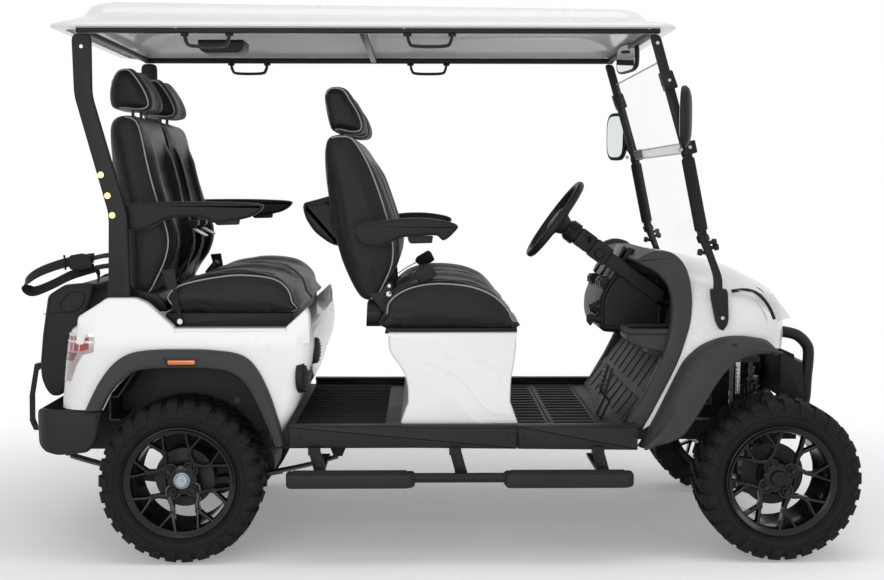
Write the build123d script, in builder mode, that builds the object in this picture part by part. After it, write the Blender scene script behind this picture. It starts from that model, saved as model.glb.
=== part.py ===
from build123d import *
import os
from math import cos, pi, radians, sin

# A lifted four-seat golf cart: wheels, axles, ladder frame, moulded body, seats and canopy.
# X points forward, Y to the cart's left, Z up from the ground. Millimetres.
# Side profiles are (x, z) points: x is measured from the rear axle, or from the front axle
# for everything ahead of the floor, so that the wheelbase moves the whole front end.

# ---- driving dimensions -------------------------------------------------------------------
wheelbase = 2110
rear_reach = 632            # rear axle to the rearmost point, the bag strap
seam = 0.3                  # gap between pieces that sit against each other
running = 0.3               # radial clearance of shafts and pins

tyre_radius = 287.5
front_reach = tyre_radius   # the front tyres are the foremost point
tyre_width = 250
tread_half = 98
bead_radius = 178
rim_lip_radius = 196
rim_half = 98               # half width between the beads
rim_wall = 12
wheel_plane = 525           # tyre's centre plane from the cart's centreline
hub_face = 545              # axle flange's outer face
spoke_count = 8
spoke_depth = 24
spoke_back = 38             # from the wheel's centre plane
hub_radius = 60
cap_radius = 30
lip_thick = 9

kingpin_y = 445
kingpin_radius = 17
steer_arm = 100

rail_half = 330             # main rails' centre from the centreline
rail_width = 50
rail_bottom = 355
rail_top = 430
front_rail_half = 200

floor_top = 455
body_half = 600             # rear quarter panels
body_wall = 22
cowl_half = body_half - 55
flare_out = body_half + 32
sill_out = body_half + 12
deck_height = 850
strut_y = body_half - 37
strut_thick = 20
rail_pipe = 28              # canopy rail section
rail_thick = 24
canopy_base = 1846
canopy_half = body_half

seat_half = 480             # outer side of the seat backs
seat_gap = 20               # half gap between the two backs of a row
plate_thick = 6
armrest_width = 56
armrest_pin = 10

rear_x = (rear_reach - (wheelbase + front_reach)) / 2
front_x = rear_x + wheelbase


def rear_side(y):
    return Plane(origin=(rear_x, y, 0), x_dir=(1, 0, 0), z_dir=(0, -1, 0))


def front_side(y):
    return Plane(origin=(front_x, y, 0), x_dir=(1, 0, 0), z_dir=(0, -1, 0))


def section(x):
    # a cross-section plane: local x is the cart's Y, local y is Z
    return Plane(origin=(x, 0, 0), x_dir=(0, 1, 0), z_dir=(1, 0, 0))


def outline(points, mode=Mode.ADD):
    return Polygon(*points, align=None, mode=mode)


def soft_outline(points, radius):
    # a closed outline with every corner rounded
    outline(points)
    fillet(vertices(Select.LAST), radius)


def save(name, part):
    part.label = name
    export_step(part, f"parts/{name}.step")


os.makedirs("parts", exist_ok=True)

# ---- wheels -------------------------------------------------------------------------------
# name, axle x, side of the cart (1 is left)
wheels = [
    ("front_left", front_x, 1),
    ("front_right", front_x, -1),
    ("rear_left", rear_x, 1),
    ("rear_right", rear_x, -1),
]
tyre_sides = 44             # facets round the tyre; shoulder lugs stand on every second one
groove_depth = 11
lug_half = 15.5
facet = cos(pi / tyre_sides)
# (distance from the centre plane, radius) of half the carcass, rim lip to tread
carcass_section = [
    (tread_half, rim_lip_radius + 2),
    (tyre_width / 2 - 4, rim_lip_radius + 20),
    (tyre_width / 2 - 2, tyre_radius - 42),
    (tread_half, tyre_radius - groove_depth),
]
# distance from the centre plane where a tier of the lugs starts and ends, its inner and outer radius
lug_tiers = [
    (8, tyre_width / 2 - 12, tyre_radius - groove_depth - 5, tyre_radius),
    (tread_half, tyre_width / 2, tyre_radius - 52, tyre_radius - 16),
]


def across_wheel(distance):
    # wheels are drawn round the origin: local x forward, local y up, normal to the cart's left
    return Plane(origin=(0, distance, 0), x_dir=(-1, 0, 0), z_dir=(0, 1, 0))


with BuildPart() as tyre:
    for distance, radius in carcass_section + [(-u, v) for u, v in reversed(carcass_section)]:
        with BuildSketch(across_wheel(distance)):
            RegularPolygon(radius, tyre_sides)
    loft(ruled=True)
    for half, first in ((1, 0.5), (-1, 1.5)):
        first_angle = first * 360 / tyre_sides
        for start, end, inner, outer in lug_tiers:
            with BuildSketch(across_wheel(half * start)):
                with PolarLocations((inner + outer) / 2, tyre_sides // 2, start_angle=first_angle):
                    Rectangle(outer - inner, 2 * lug_half)
            extrude(amount=half * (end - start))
    with BuildSketch(across_wheel(-tyre_width)):
        RegularPolygon(bead_radius / facet, tyre_sides)
    extrude(amount=2 * tyre_width, mode=Mode.SUBTRACT)

barrel = bead_radius - seam
barrel_inner = barrel - rim_wall
flange = rim_half + seam
hub_back = hub_face + seam - wheel_plane
spoke_front = spoke_back + spoke_depth
cap_front = spoke_front + 28
with BuildPart() as rim:
    with BuildSketch(Plane.YZ):
        outline([
            (-flange - lip_thick, barrel_inner), (-flange - lip_thick, rim_lip_radius),
            (-flange, rim_lip_radius), (-flange, barrel), (flange, barrel), (flange, rim_lip_radius),
            (flange + lip_thick, rim_lip_radius), (flange + lip_thick, barrel_inner),
        ])
        outline([
            (hub_back, 0), (hub_back, hub_radius), (spoke_front, hub_radius), (cap_front, cap_radius),
            (cap_front, 0),
        ])
    revolve(axis=Axis.Y)
    with BuildSketch(across_wheel(spoke_back)):
        with PolarLocations(0, spoke_count):
            outline([(50, -13), (106, -10), (106, 10), (50, 13)])
            for tip in (1, -1):
                outline([
                    (96, -2 * tip), (100, 11 * tip), (barrel_inner + 4, 47 * tip),
                    (barrel_inner + 8, 34 * tip), (110, -2 * tip),
                ])
    extrude(amount=spoke_depth)

for name, axle_x, side in wheels:
    place = Location((axle_x, side * wheel_plane, tyre_radius))
    save(f"tyre_{name}", tyre.part.moved(place))
    if side > 0:
        save(f"rim_{name}", rim.part.moved(place))
    else:
        save(f"rim_{name}", mirror(rim.part, about=Plane.XZ).moved(place))

# ---- rear axle with its differential and motor ----------------------------------------------
axle_tube = 38
drum_radius = 105
diff_radius = 112
motor_radius = 90
motor_x = 205
motor_length = 250
with BuildPart() as rear_axle:
    with BuildSketch(section(rear_x)):
        outline([
            (0, tyre_radius), (0, tyre_radius + diff_radius), (50, tyre_radius + diff_radius),
            (82, tyre_radius + 70), (100, tyre_radius + axle_tube), (455, tyre_radius + axle_tube),
            (455, tyre_radius + drum_radius), (528, tyre_radius + drum_radius),
            (532, tyre_radius + hub_radius), (hub_face, tyre_radius + hub_radius), (hub_face, tyre_radius),
        ])
    revolve(axis=Axis((rear_x, 0, tyre_radius), (0, 1, 0)))
    mirror(about=Plane.XZ)
    with BuildSketch(rear_side(50)):
        with Locations((motor_x / 2, tyre_radius)):
            Rectangle(motor_x, 150)
        with Locations((motor_x, tyre_radius)):
            Circle(75)
    extrude(amount=100)
save("rear_axle", rear_axle.part)

with BuildPart() as motor:
    with BuildSketch(rear_side(-50 - seam)):
        with Locations((motor_x, tyre_radius)):
            Circle(motor_radius)
    extrude(amount=motor_length)
save("motor", motor.part)

# ---- ladder frame ---------------------------------------------------------------------------
bumper_inner = -470
rail_rear = bumper_inner + seam
rail_front = wheelbase - 470
front_rail_front = 170      # ahead of the front axle
post_half = 22
rail_height = rail_top - rail_bottom
rail_span = 2 * (rail_half - rail_width / 2)
cross_members = [rail_rear + 30, 330, 700, 1170, rail_front - 30]
deck_posts = [-190, 270]
tower_top = 690
tower_thick = 20
tower_out = 340
lower_box_base = 178
lower_box_top = 212
with BuildPart() as frame:
    for side in (1, -1):
        with BuildSketch(Plane.XY.offset(rail_bottom)):
            with Locations((rear_x + (rail_rear + rail_front) / 2, side * rail_half)):
                Rectangle(rail_front - rail_rear, rail_width)
        extrude(amount=rail_height)
        with BuildSketch(Plane.XY.offset(rail_bottom)):
            outline([
                (rear_x + rail_front - 90, side * 150), (front_x + front_rail_front, side * 150),
                (front_x + front_rail_front, side * front_rail_half),
                (rear_x + rail_front - 90, side * front_rail_half),
            ])
        extrude(amount=rail_height)
        for post_x in deck_posts:
            with BuildSketch(Plane.XY.offset(rail_top)):
                with Locations((rear_x + post_x, side * rail_half)):
                    Rectangle(2 * post_half, 2 * post_half)
            extrude(amount=deck_height - body_wall - seam - rail_top)
        # tower that holds the front shock's upper eye
        with BuildSketch(section(front_x - 80)):
            outline([
                (side * 150, rail_top), (side * front_rail_half, rail_top), (side * 230, tower_top - 50),
                (side * 262, tower_top - tower_thick), (side * tower_out, tower_top - tower_thick),
                (side * tower_out, tower_top), (side * 150, tower_top),
            ])
        extrude(amount=70)
        # spring hangers under the rails
        for hanger_x, low in ((-452, 330), (535, 325)):
            with BuildSketch(rear_side(side * rail_half)):
                outline([
                    (hanger_x - 28, rail_bottom), (hanger_x - 16, low), (hanger_x + 16, low),
                    (hanger_x + 28, rail_bottom),
                ])
            extrude(amount=rail_width / 2, both=True)
    for cross_x in cross_members:
        with BuildSketch(Plane.XY.offset(rail_bottom + 5)):
            with Locations((rear_x + cross_x, 0)):
                Rectangle(60, rail_span)
        extrude(amount=rail_height - 15)
    with BuildSketch(Plane.XY.offset(rail_bottom + 5)):
        with Locations((front_x + front_rail_front - 30, 0)):
            Rectangle(60, 2 * front_rail_half)
    extrude(amount=rail_height - 15)
    # lower box that carries the front arms and the steering gear
    with BuildSketch(Plane.XY.offset(lower_box_base)):
        with Locations((front_x, 0)):
            Rectangle(270, 280)
    extrude(amount=lower_box_top - lower_box_base)
    for column_x in (-70, 95):
        with BuildSketch(section(front_x + column_x)):
            outline([(-140, lower_box_top), (140, lower_box_top), (140, rail_bottom), (-140, rail_bottom)])
        extrude(amount=30)
        with BuildSketch(section(front_x + column_x)):
            outline([
                (-160, rail_bottom), (160, rail_bottom), (160, rail_bottom + 40), (-160, rail_bottom + 40),
            ])
        extrude(amount=30)
save("frame", frame.part)

# ---- rear leaf springs and front shocks -------------------------------------------------------
leaf_width = 55
leaf_y = rail_half
leaf_low = tyre_radius - axle_tube - seam
leaf_thick = 8
eye_rear = (-452, 330)      # (x, z) where the main leaf meets its hanger
eye_front = (535, 325)
# reach behind and ahead of the axle, drop below the main leaf
leaves = [
    (eye_rear[0], eye_front[0], 0),
    (-300, 330, leaf_thick + 1),
    (-180, 200, 2 * (leaf_thick + 1)),
]
with BuildPart() as springs:
    for side in (1, -1):
        for reach_back, reach_front, drop in leaves:
            rise_back = (eye_rear[1] - leaf_low) * (reach_back / eye_rear[0]) ** 2
            rise_front = (eye_front[1] - leaf_low) * (reach_front / eye_front[0]) ** 2
            with BuildSketch(rear_side(side * leaf_y)):
                with BuildLine():
                    low = leaf_low - leaf_thick - drop
                    ThreePointArc((reach_back, low + rise_back), (0, low), (reach_front, low + rise_front))
                    Line((reach_front, low + rise_front), (reach_front, low + rise_front + leaf_thick))
                    ThreePointArc(
                        (reach_front, low + rise_front + leaf_thick), (0, low + leaf_thick),
                        (reach_back, low + rise_back + leaf_thick),
                    )
                    Line((reach_back, low + rise_back + leaf_thick), (reach_back, low + rise_back))
                make_face()
            extrude(amount=leaf_width / 2, both=True)
        with BuildSketch(rear_side(side * leaf_y)):
            with Locations((0, leaf_low - 17)):
                Rectangle(90, 34)
        extrude(amount=leaf_width / 2 + 6, both=True)
save("springs", springs.part)

# ---- front arms, knuckles and tie rods --------------------------------------------------------
lower_arm_z = 180
lower_arm_thick = 24
upper_arm_z = 362
upper_arm_thick = 20
box_side = 140
joint_pin = 11
joint_depth = 20
shock_x = -42               # from the front axle
shock_y = 305
with BuildPart() as front_arms:
    for side in (1, -1):
        with BuildSketch(Plane.XY.offset(lower_arm_z)):
            outline([
                (front_x - 120, side * (box_side + seam)), (front_x - 24, side * kingpin_y),
                (front_x + 24, side * kingpin_y), (front_x + 120, side * (box_side + seam)),
                (front_x + 70, side * (box_side + seam)), (front_x, side * 330),
                (front_x - 70, side * (box_side + seam)),
            ])
            with Locations((front_x, side * kingpin_y)):
                Circle(26)
            with Locations((front_x + shock_x, side * shock_y)):
                Circle(30)
        extrude(amount=lower_arm_thick)
        with BuildSketch(Plane.XY.offset(upper_arm_z)):
            outline([
                (front_x + 8, side * (front_rail_half + seam)), (front_x - 14, side * kingpin_y),
                (front_x + 20, side * kingpin_y), (front_x + 62, side * (front_rail_half + seam)),
            ])
            with Locations((front_x, side * kingpin_y)):
                Circle(24)
        extrude(amount=upper_arm_thick)
        for pin_z in (lower_arm_z + lower_arm_thick, upper_arm_z - joint_depth):
            with BuildSketch(Plane.XY.offset(pin_z)):
                with Locations((front_x, side * kingpin_y)):
                    Circle(joint_pin)
            extrude(amount=joint_depth)
save("front_arms", front_arms.part)

# coil-over shocks between the lower arms and the towers
shock_low = lower_arm_z + lower_arm_thick + seam
shock_high = tower_top - tower_thick - seam
shock_body = 16
perch_radius = 33
perch_thick = 10
coil_low = 400
coil_high = 645
coil_turns = 7
coil_radius = 27
coil_wire = 8
with BuildPart() as shocks:
    for side in (1, -1):
        foot = Plane(origin=(front_x + shock_x, side * shock_y, shock_low))
        with BuildSketch(foot):
            Circle(shock_body)
        extrude(amount=shock_high - shock_low)
        for perch_z in (coil_low - perch_thick, coil_high):
            with BuildSketch(foot.offset(perch_z - shock_low)):
                Circle(perch_radius)
            extrude(amount=perch_thick)
        with BuildLine(foot.offset(coil_low - perch_thick / 2 - shock_low)):
            turns_height = coil_high - coil_low + perch_thick
            Helix(pitch=turns_height / coil_turns, height=turns_height, radius=coil_radius)
        with BuildSketch(Plane(
            origin=(front_x + shock_x + coil_radius, side * shock_y, coil_low - perch_thick / 2),
            x_dir=(1, 0, 0), z_dir=(0, 1, 0),
        )):
            Rectangle(coil_wire, coil_wire)
        sweep(is_frenet=True)
save("shocks", shocks.part)

knuckle_low = lower_arm_z + lower_arm_thick + running
knuckle_high = upper_arm_z - running
stub_radius = 24
disc_radius = 112


def make_knuckle(side):
    with BuildPart() as knuckle:
        with BuildSketch(Plane.XY.offset(knuckle_low)):
            with Locations((front_x, side * kingpin_y)):
                Circle(kingpin_radius + 7)
        extrude(amount=knuckle_high - knuckle_low)
        with BuildSketch(Plane(origin=(front_x, side * kingpin_y, tyre_radius), z_dir=(0, side, 0))):
            Circle(stub_radius)
        extrude(amount=hub_face - kingpin_y)
        with BuildSketch(Plane(origin=(front_x, side * 488, tyre_radius), z_dir=(0, side, 0))):
            Circle(disc_radius)
        extrude(amount=8)
        with BuildSketch(Plane(origin=(front_x, side * 496, tyre_radius), z_dir=(0, side, 0))):
            Circle(hub_radius)
        extrude(amount=hub_face - 496)
        with BuildSketch(Plane.XY.offset(255)):
            outline([
                (front_x, side * (kingpin_y - 14)), (front_x - steer_arm, side * (kingpin_y - 12)),
                (front_x - steer_arm, side * (kingpin_y + 12)), (front_x, side * (kingpin_y + 14)),
            ])
            with Locations((front_x - steer_arm, side * kingpin_y)):
                Circle(16)
        extrude(amount=14)
        pocket = joint_depth + running
        for pocket_z in (knuckle_low, knuckle_high - pocket):
            with BuildSketch(Plane.XY.offset(pocket_z)):
                with Locations((front_x, side * kingpin_y)):
                    Circle(joint_pin + running)
            extrude(amount=pocket, mode=Mode.SUBTRACT)
    return knuckle.part


for name, side in (("knuckle_left", 1), ("knuckle_right", -1)):
    save(name, make_knuckle(side))

rack_z = 241
rack_radius = 10
housing_radius = 22
housing_half = 130
with BuildPart() as tie_rods:
    with BuildSketch(Plane(origin=(front_x - steer_arm, 0, rack_z), z_dir=(0, 1, 0))):
        Circle(rack_radius)
    extrude(amount=kingpin_y, both=True)
    for side in (1, -1):
        with BuildSketch(Plane.XY.offset(rack_z - 12)):
            with Locations((front_x - steer_arm, side * kingpin_y)):
                Circle(17)
        extrude(amount=25)
save("tie_rods", tie_rods.part)

with BuildPart() as steering_gear:
    with BuildSketch(Plane(origin=(front_x - steer_arm, 0, rack_z), z_dir=(0, 1, 0))):
        Circle(housing_radius)
    extrude(amount=housing_half, both=True)
    with BuildSketch(section(front_x - steer_arm - 16)):
        for foot_y in (-95, 95):
            outline([
                (foot_y - 14, lower_box_top + seam), (foot_y + 14, lower_box_top + seam),
                (foot_y + 14, rack_z), (foot_y - 14, rack_z),
            ])
    extrude(amount=32)
    with BuildSketch(Plane(origin=(front_x - steer_arm, 0, rack_z), z_dir=(0, 1, 0))):
        Circle(rack_radius + running)
    extrude(amount=housing_half, both=True, mode=Mode.SUBTRACT)
save("steering_gear", steering_gear.part)

# ---- floor, sills and front seat box ------------------------------------------------------------
floor_rear = 310
floor_front = rail_front
sill_front = floor_front - 35
floor_half = body_half - 15
toe_foot = floor_front - 100
toe_top = (toe_foot + 195, 704.7)
toe_half = cowl_half - 30 - seam
toe_thick = 18
with BuildPart() as floor:
    with BuildSketch(rear_side(0)):
        outline([
            (floor_rear, rail_top + seam), (sill_front, rail_top + seam), (sill_front, floor_top),
            (floor_rear, floor_top),
        ])
    extrude(amount=floor_half, both=True)
    with BuildSketch(rear_side(0)):
        outline([
            (sill_front - 5, rail_top + seam), (floor_front, rail_top + seam), (floor_front, floor_top),
            (sill_front - 5, floor_top),
        ])
    extrude(amount=cowl_half - 1, both=True)
    with BuildSketch(rear_side(0)):
        outline([
            (toe_foot, floor_top - 5), toe_top, (toe_top[0] + toe_thick, toe_top[1]),
            (toe_foot + toe_thick + 6, floor_top - 5),
        ])
    extrude(amount=toe_half, both=True)
save("floor", floor.part)

sill_rear = 378
with BuildPart() as sills:
    for side in (1, -1):
        with BuildSketch(section(rear_x + sill_rear)):
            outline([
                (side * (floor_half + seam), rail_top), (side * (floor_half + seam), 484),
                (side * (sill_out - 8), 482), (side * sill_out, 472), (side * sill_out, 402),
                (side * (sill_out - 10), 396), (side * (sill_out - 22), 396),
            ])
        extrude(amount=sill_front - sill_rear)
save("sills", sills.part)

box_half = body_half - 40
box_base = floor_top + seam
box_top = 806
box_points = [
    (797, box_base), (797, 520), (792, 635), (729, 753), (726, box_top), (1180, box_top), (1174, 701),
    (1160, 630), (1160, box_base),
]
with BuildPart() as seat_box:
    with BuildSketch(rear_side(0)):
        soft_outline(box_points, 18)
    extrude(amount=box_half, both=True)
    with BuildSketch(rear_side(0)):
        outline([
            (819, box_base), (819, 640), (755, 760), (755, box_top - body_wall), (1152, box_top - body_wall),
            (1138, 640), (1138, box_base),
        ])
    extrude(amount=box_half - body_wall, both=True, mode=Mode.SUBTRACT)
save("seat_box", seat_box.part)

with BuildPart() as battery:
    with BuildSketch(Plane.XY.offset(box_base)):
        with Locations((rear_x + 975, 0)):
            Rectangle(290, 720)
    extrude(amount=250)
save("battery", battery.part)

# ---- rear body, liners, flares, bumper -----------------------------------------------------------
# the wheel arch and the outside of its flare: straight runs joined by arcs
arch_line = [(-222, 588), (-133, 719), (190, 719), (268, 608), (331, box_base)]
arch_bend = 70
flare_line = [(-277, 588), (-165, 781), (225, 781), (300, 668), (358, 512), (358, box_base)]
flare_bend = 90
liner_base = 500
body_side = [
    (-455, 380), (-385, deck_height), (452, deck_height), (465, deck_height - 48), (457, 695), (395, 530),
    (330, 380),
]
body_rear = -430
body_front = 500
body_corner = 100
with BuildSketch() as arch_opening:
    with BuildLine():
        FilletPolyline(*arch_line, radius=arch_bend)
        Polyline(
            arch_line[-1], (body_front, box_base), (body_front, 200), (-body_front, 200),
            (-body_front, arch_line[0][1]), arch_line[0],
        )
    make_face()
with BuildSketch() as arch_void:
    add(arch_opening.sketch)
    with Locations((0, liner_base - 400)):
        Rectangle(1200, 800, mode=Mode.SUBTRACT)
    with Locations((arch_line[0][0] - 30 - 300, 600)):
        Rectangle(600, 800, mode=Mode.SUBTRACT)
    with Locations((arch_line[-1][0] - 5 + 300, 600)):
        Rectangle(600, 800, mode=Mode.SUBTRACT)
with BuildSketch() as flare_face:
    with BuildLine():
        FilletPolyline(*flare_line, radius=flare_bend)
        Line(flare_line[-1], arch_line[-1])
        FilletPolyline(*arch_line, radius=arch_bend)
        Line(arch_line[0], flare_line[0])
    make_face()


def body_plan(inset):
    # plan of the rear body with its two rear corners rounded
    half = body_half - inset
    outline([
        (rear_x + body_rear, -half), (rear_x + body_front, -half), (rear_x + body_front, half),
        (rear_x + body_rear, half),
    ])
    fillet(vertices().group_by(Axis.X)[0], radius=body_corner - inset)


with BuildPart() as body_core:
    with BuildSketch(rear_side(0)):
        outline(body_side)
        offset(amount=-body_wall, mode=Mode.REPLACE)
    extrude(amount=body_half - body_wall, both=True)
    with BuildSketch(Plane.XY.offset(300)):
        body_plan(body_wall)
    extrude(amount=700, mode=Mode.INTERSECT)
with BuildPart() as rear_body:
    with BuildSketch(rear_side(0)):
        outline(body_side)
    extrude(amount=body_half, both=True)
    # raised shoulders beside the seat
    for side in (1, -1):
        with BuildSketch(rear_side(side * (body_half - 28))):
            soft_outline([
                (-330, deck_height - 30), (-317, deck_height + 32), (-262, deck_height + 85),
                (-81, deck_height + 85), (20, deck_height - 30),
            ], 14)
            soft_outline([
                (350, deck_height - 20), (453, deck_height + 58), (461, deck_height - 30),
                (400, deck_height - 60),
            ], 8)
        extrude(amount=28, both=True)
    with BuildSketch(Plane.XY.offset(300)):
        body_plan(0)
    extrude(amount=700, mode=Mode.INTERSECT)
    with BuildSketch(rear_side(0)):
        add(arch_opening.sketch)
    extrude(amount=body_half + 10, both=True, mode=Mode.SUBTRACT)
    add(body_core.part, mode=Mode.SUBTRACT)
save("rear_body", rear_body.part)

liner_inner = 374
liner_thick = 6
liner_out = body_half - body_wall
with BuildPart() as rear_liners:
    for side in (1, -1):
        with BuildSketch(rear_side(side * (liner_inner + liner_out) / 2)):
            add(arch_void.sketch)
            offset(amount=-seam, mode=Mode.REPLACE)
        extrude(amount=(liner_out - liner_inner) / 2, both=True)
        with BuildSketch(rear_side(side * (liner_inner + liner_out + 2 * liner_thick) / 2)):
            add(arch_void.sketch)
            offset(amount=-seam - liner_thick, mode=Mode.REPLACE)
            with Locations((40, liner_base)):
                Rectangle(510, 60)
        extrude(amount=(liner_out - liner_inner) / 2, both=True, mode=Mode.SUBTRACT)
save("rear_liners", rear_liners.part)

# the front flare runs from the sill up over the wheel and ends above the axle
front_flare = [
    (-5, 744), (-28, 779), (-180, 797), (-300, 748), (-357, 668), (-497, 400), (-433, 410), (-370, 430),
    (-300, 495), (-215, 672), (-120, 732),
]
with BuildPart() as flares:
    for side in (1, -1):
        with BuildSketch(rear_side(side * (body_half + seam))):
            add(flare_face.sketch)
        extrude(amount=-side * (flare_out - body_half))
        with BuildSketch(front_side(side * (cowl_half + seam))):
            soft_outline(front_flare, 10)
        extrude(amount=-side * (flare_out - cowl_half))
save("flares", flares.part)

bumper_half = body_half
bumper_wall = 40


def round_backed(rear, front, half, corner):
    # a plan with its two rear corners rounded
    outline([(rear_x + rear, -half), (rear_x + front, -half), (rear_x + front, half), (rear_x + rear, half)])
    fillet(vertices().group_by(Axis.X)[0], radius=corner)


with BuildPart() as rear_bumper:
    with BuildSketch(rear_side(0)):
        soft_outline([
            (-510, 574), (-517, 540), (-510, 414), (-434, 378), (-328, 388), (-292, 430), (-271, 574),
        ], 12)
    extrude(amount=bumper_half, both=True)
    with BuildSketch(Plane.XY.offset(350)):
        round_backed(-520, -250, bumper_half, 90)
    extrude(amount=300, mode=Mode.INTERSECT)
    with BuildSketch(Plane.XY.offset(350)):
        round_backed(bumper_inner, -200, bumper_half - bumper_wall, 50)
    extrude(amount=300, mode=Mode.SUBTRACT)
save("rear_bumper", rear_bumper.part)

# open-topped box behind the rear seat, for bags
bag_half = 330
with BuildPart() as rear_box:
    with BuildSketch(rear_side(0)):
        soft_outline([
            (-432, 588), (-386, deck_height), (-375, 930), (-492, 916), (-540, 879), (-585, 572), (-545, 556),
            (-522, 577), (-470, 588),
        ], 5)
    extrude(amount=bag_half, both=True)
    with BuildSketch(rear_side(0)):
        outline([(-455, 640), (-400, 960), (-520, 960), (-514, 860), (-514, 640)])
    extrude(amount=bag_half - 18, both=True, mode=Mode.SUBTRACT)
    with BuildSketch(rear_side(0)):
        outline([body_side[0], body_side[1], (-300, deck_height), (-300, body_side[0][1])])
        offset(amount=seam, mode=Mode.REPLACE)
    extrude(amount=bag_half + 5, both=True, mode=Mode.SUBTRACT)
save("rear_box", rear_box.part)

# bent bars from the box down to the bumper
guard_y = 290
with BuildPart() as rear_guard:
    for side in (1, -1):
        with BuildSketch(rear_side(side * guard_y)):
            soft_outline([
                (-571.3, 668), (-590, 664), (-612, 545), (-613, 450), (-598, 416), (-510.6, 416),
                (-511.4, 430), (-590, 431), (-599, 455), (-598, 545), (-582, 640), (-575.4, 640),
            ], 1.5)
        extrude(amount=13, both=True)
save("rear_guard", rear_guard.part)

strap_y = 200
strap_half = 22
with BuildPart() as bag_strap:
    with BuildSketch(rear_side(-strap_y)):
        outline([
            (-558.3, 797), (-548, 870), (-600, 897), (-rear_reach, 955), (-624, 1010), (-500, 1066),
            (-400, 1082), (-383, 1060), (-385, 929.4), (-391, 928.7), (-389, 1055), (-402, 1075),
            (-500, 1059), (-618, 1005), (-626, 957), (-597, 903), (-540.6, 877), (-552.3, 797),
        ])
    extrude(amount=strap_half, both=True)
save("bag_strap", bag_strap.part)

# ---- front cowl, headlamps ------------------------------------------------------------------------
dash_edge = [(-346, 1080), (-315, 1049), (-309, 918), (-327, 791), (-357, 701), (-417, 577), (-479, box_base)]
hood = [(-193, 1044), (-120, 1027), (-45, 990), (69, 926), (131, 845), (175, 752), (165, 738)]
arch_radius = 445
arch_inner = 255
cowl_wall = 12


def cowl_block(side_points, plan_inset, arch_r, arch_y):
    with BuildPart() as block:
        with BuildSketch(front_side(0)):
            outline(side_points)
        extrude(amount=cowl_half - plan_inset, both=True)
        with BuildSketch(Plane.XY.offset(400)):
            with BuildLine():
                edge = cowl_half - plan_inset
                nose = front_x + 180 - plan_inset
                corner = (nose - 95, edge - 130)
                Line((front_x - 520, -edge), (front_x - 130, -edge))
                ThreePointArc((front_x - 130, -edge), (corner[0], -corner[1]), (nose - 18, -180))
                ThreePointArc((nose - 18, -180), (nose, 0), (nose - 18, 180))
                ThreePointArc((nose - 18, 180), corner, (front_x - 130, edge))
                Line((front_x - 130, edge), (front_x - 520, edge))
                Line((front_x - 520, edge), (front_x - 520, -edge))
            make_face()
        extrude(amount=800, mode=Mode.INTERSECT)
        for side in (1, -1):
            with BuildSketch(front_side(side * arch_y)):
                with Locations((0, tyre_radius)):
                    Circle(arch_r)
                with Locations((0, tyre_radius - arch_r / 2)):
                    Rectangle(2 * arch_r, arch_r)
            extrude(amount=-side * cowl_half, mode=Mode.SUBTRACT)
    return block.part


cowl_outer = cowl_block(
    [(x + seam, z) for x, z in dash_edge[::-1][1:]] + hood + [(-300, 738)], 0, arch_radius, arch_inner
)
cowl_core = cowl_block(
    [(-600, 500), (-600, 1068), (-346, 1068), (-315, 1052), (-196, 1032), (-125, 1015), (-51, 979),
     (60, 917), (120, 838), (163, 750), (165, 500)],
    cowl_wall, arch_radius + cowl_wall, arch_inner - cowl_wall,
)
lamp_prism = [(-150, 956), (-10, 935), (75, 845), (20, 838), (-60, 905)]
with BuildPart() as front_cowl:
    add(cowl_outer)
    add(cowl_core, mode=Mode.SUBTRACT)
    for side in (1, -1):
        with BuildSketch(front_side(side * 300)):
            outline(lamp_prism)
        extrude(amount=-side * 300, mode=Mode.SUBTRACT)
save("front_cowl", front_cowl.part)

with BuildPart() as headlamps:
    for side in (1, -1):
        with BuildSketch(front_side(side * 300)):
            outline(lamp_prism)
            offset(amount=-seam, mode=Mode.REPLACE)
        extrude(amount=-side * 300)
    add(cowl_outer, mode=Mode.INTERSECT)
    add(cowl_core, mode=Mode.SUBTRACT)
save("headlamps", headlamps.part)

with BuildPart() as tail_lamps:
    for side in (1, -1):
        with BuildSketch(rear_side(side * (body_half - 180))):
            outline([(-470, 822), (-339, 822), (-344, 755), (-372, 749), (-395, 676), (-470, 676)])
        extrude(amount=-side * (180 - 4))
    with BuildSketch(Plane.XY.offset(600)):
        round_backed(body_rear - 7, -250, body_half, 96)
    extrude(amount=300, mode=Mode.INTERSECT)
    add(rear_body.part, mode=Mode.SUBTRACT)
    add(body_core.part, mode=Mode.SUBTRACT)
save("tail_lamps", tail_lamps.part)

# ---- dash, console, steering column, pedals ----------------------------------------------------------
dash_half = cowl_half + 15
cheek_inner = dash_half - 45
tray_inner = 300
fire_wall = [(-377, 705), (-347, 795), (-329, 918), (-335, 1040), (-352, 1056)]
with BuildPart() as dash:
    for side in (1, -1):
        with BuildSketch(front_side(side * cheek_inner)):
            outline(
                dash_edge
                + [(-540, box_base), (-468, 600), (-420, 700), (-385, 800), (-370, 918), (-382, 1010),
                   (-420, 1050), (-500, 1058), (-500, 1066)]
            )
        extrude(amount=-side * (dash_half - cheek_inner))
        with BuildSketch(front_side(side * tray_inner)):
            soft_outline([(-538, 802), (-524, 824), (-345, 822), (-372, 724), (-492, 748)], 8)
        extrude(amount=-side * (cheek_inner - tray_inner))
        with BuildSketch(front_side(side * (tray_inner + 30))):
            outline([(-505, 775), (-505, 830), (-375, 830), (-375, 765)])
        extrude(amount=-side * 150, mode=Mode.SUBTRACT)
    with BuildSketch(front_side(0)):
        outline(dash_edge[:4] + [(-355.7, 705)] + fire_wall + [(-500, 1052), (-500, 1066)])
    extrude(amount=cheek_inner, both=True)
save("dash", dash.part)

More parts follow.
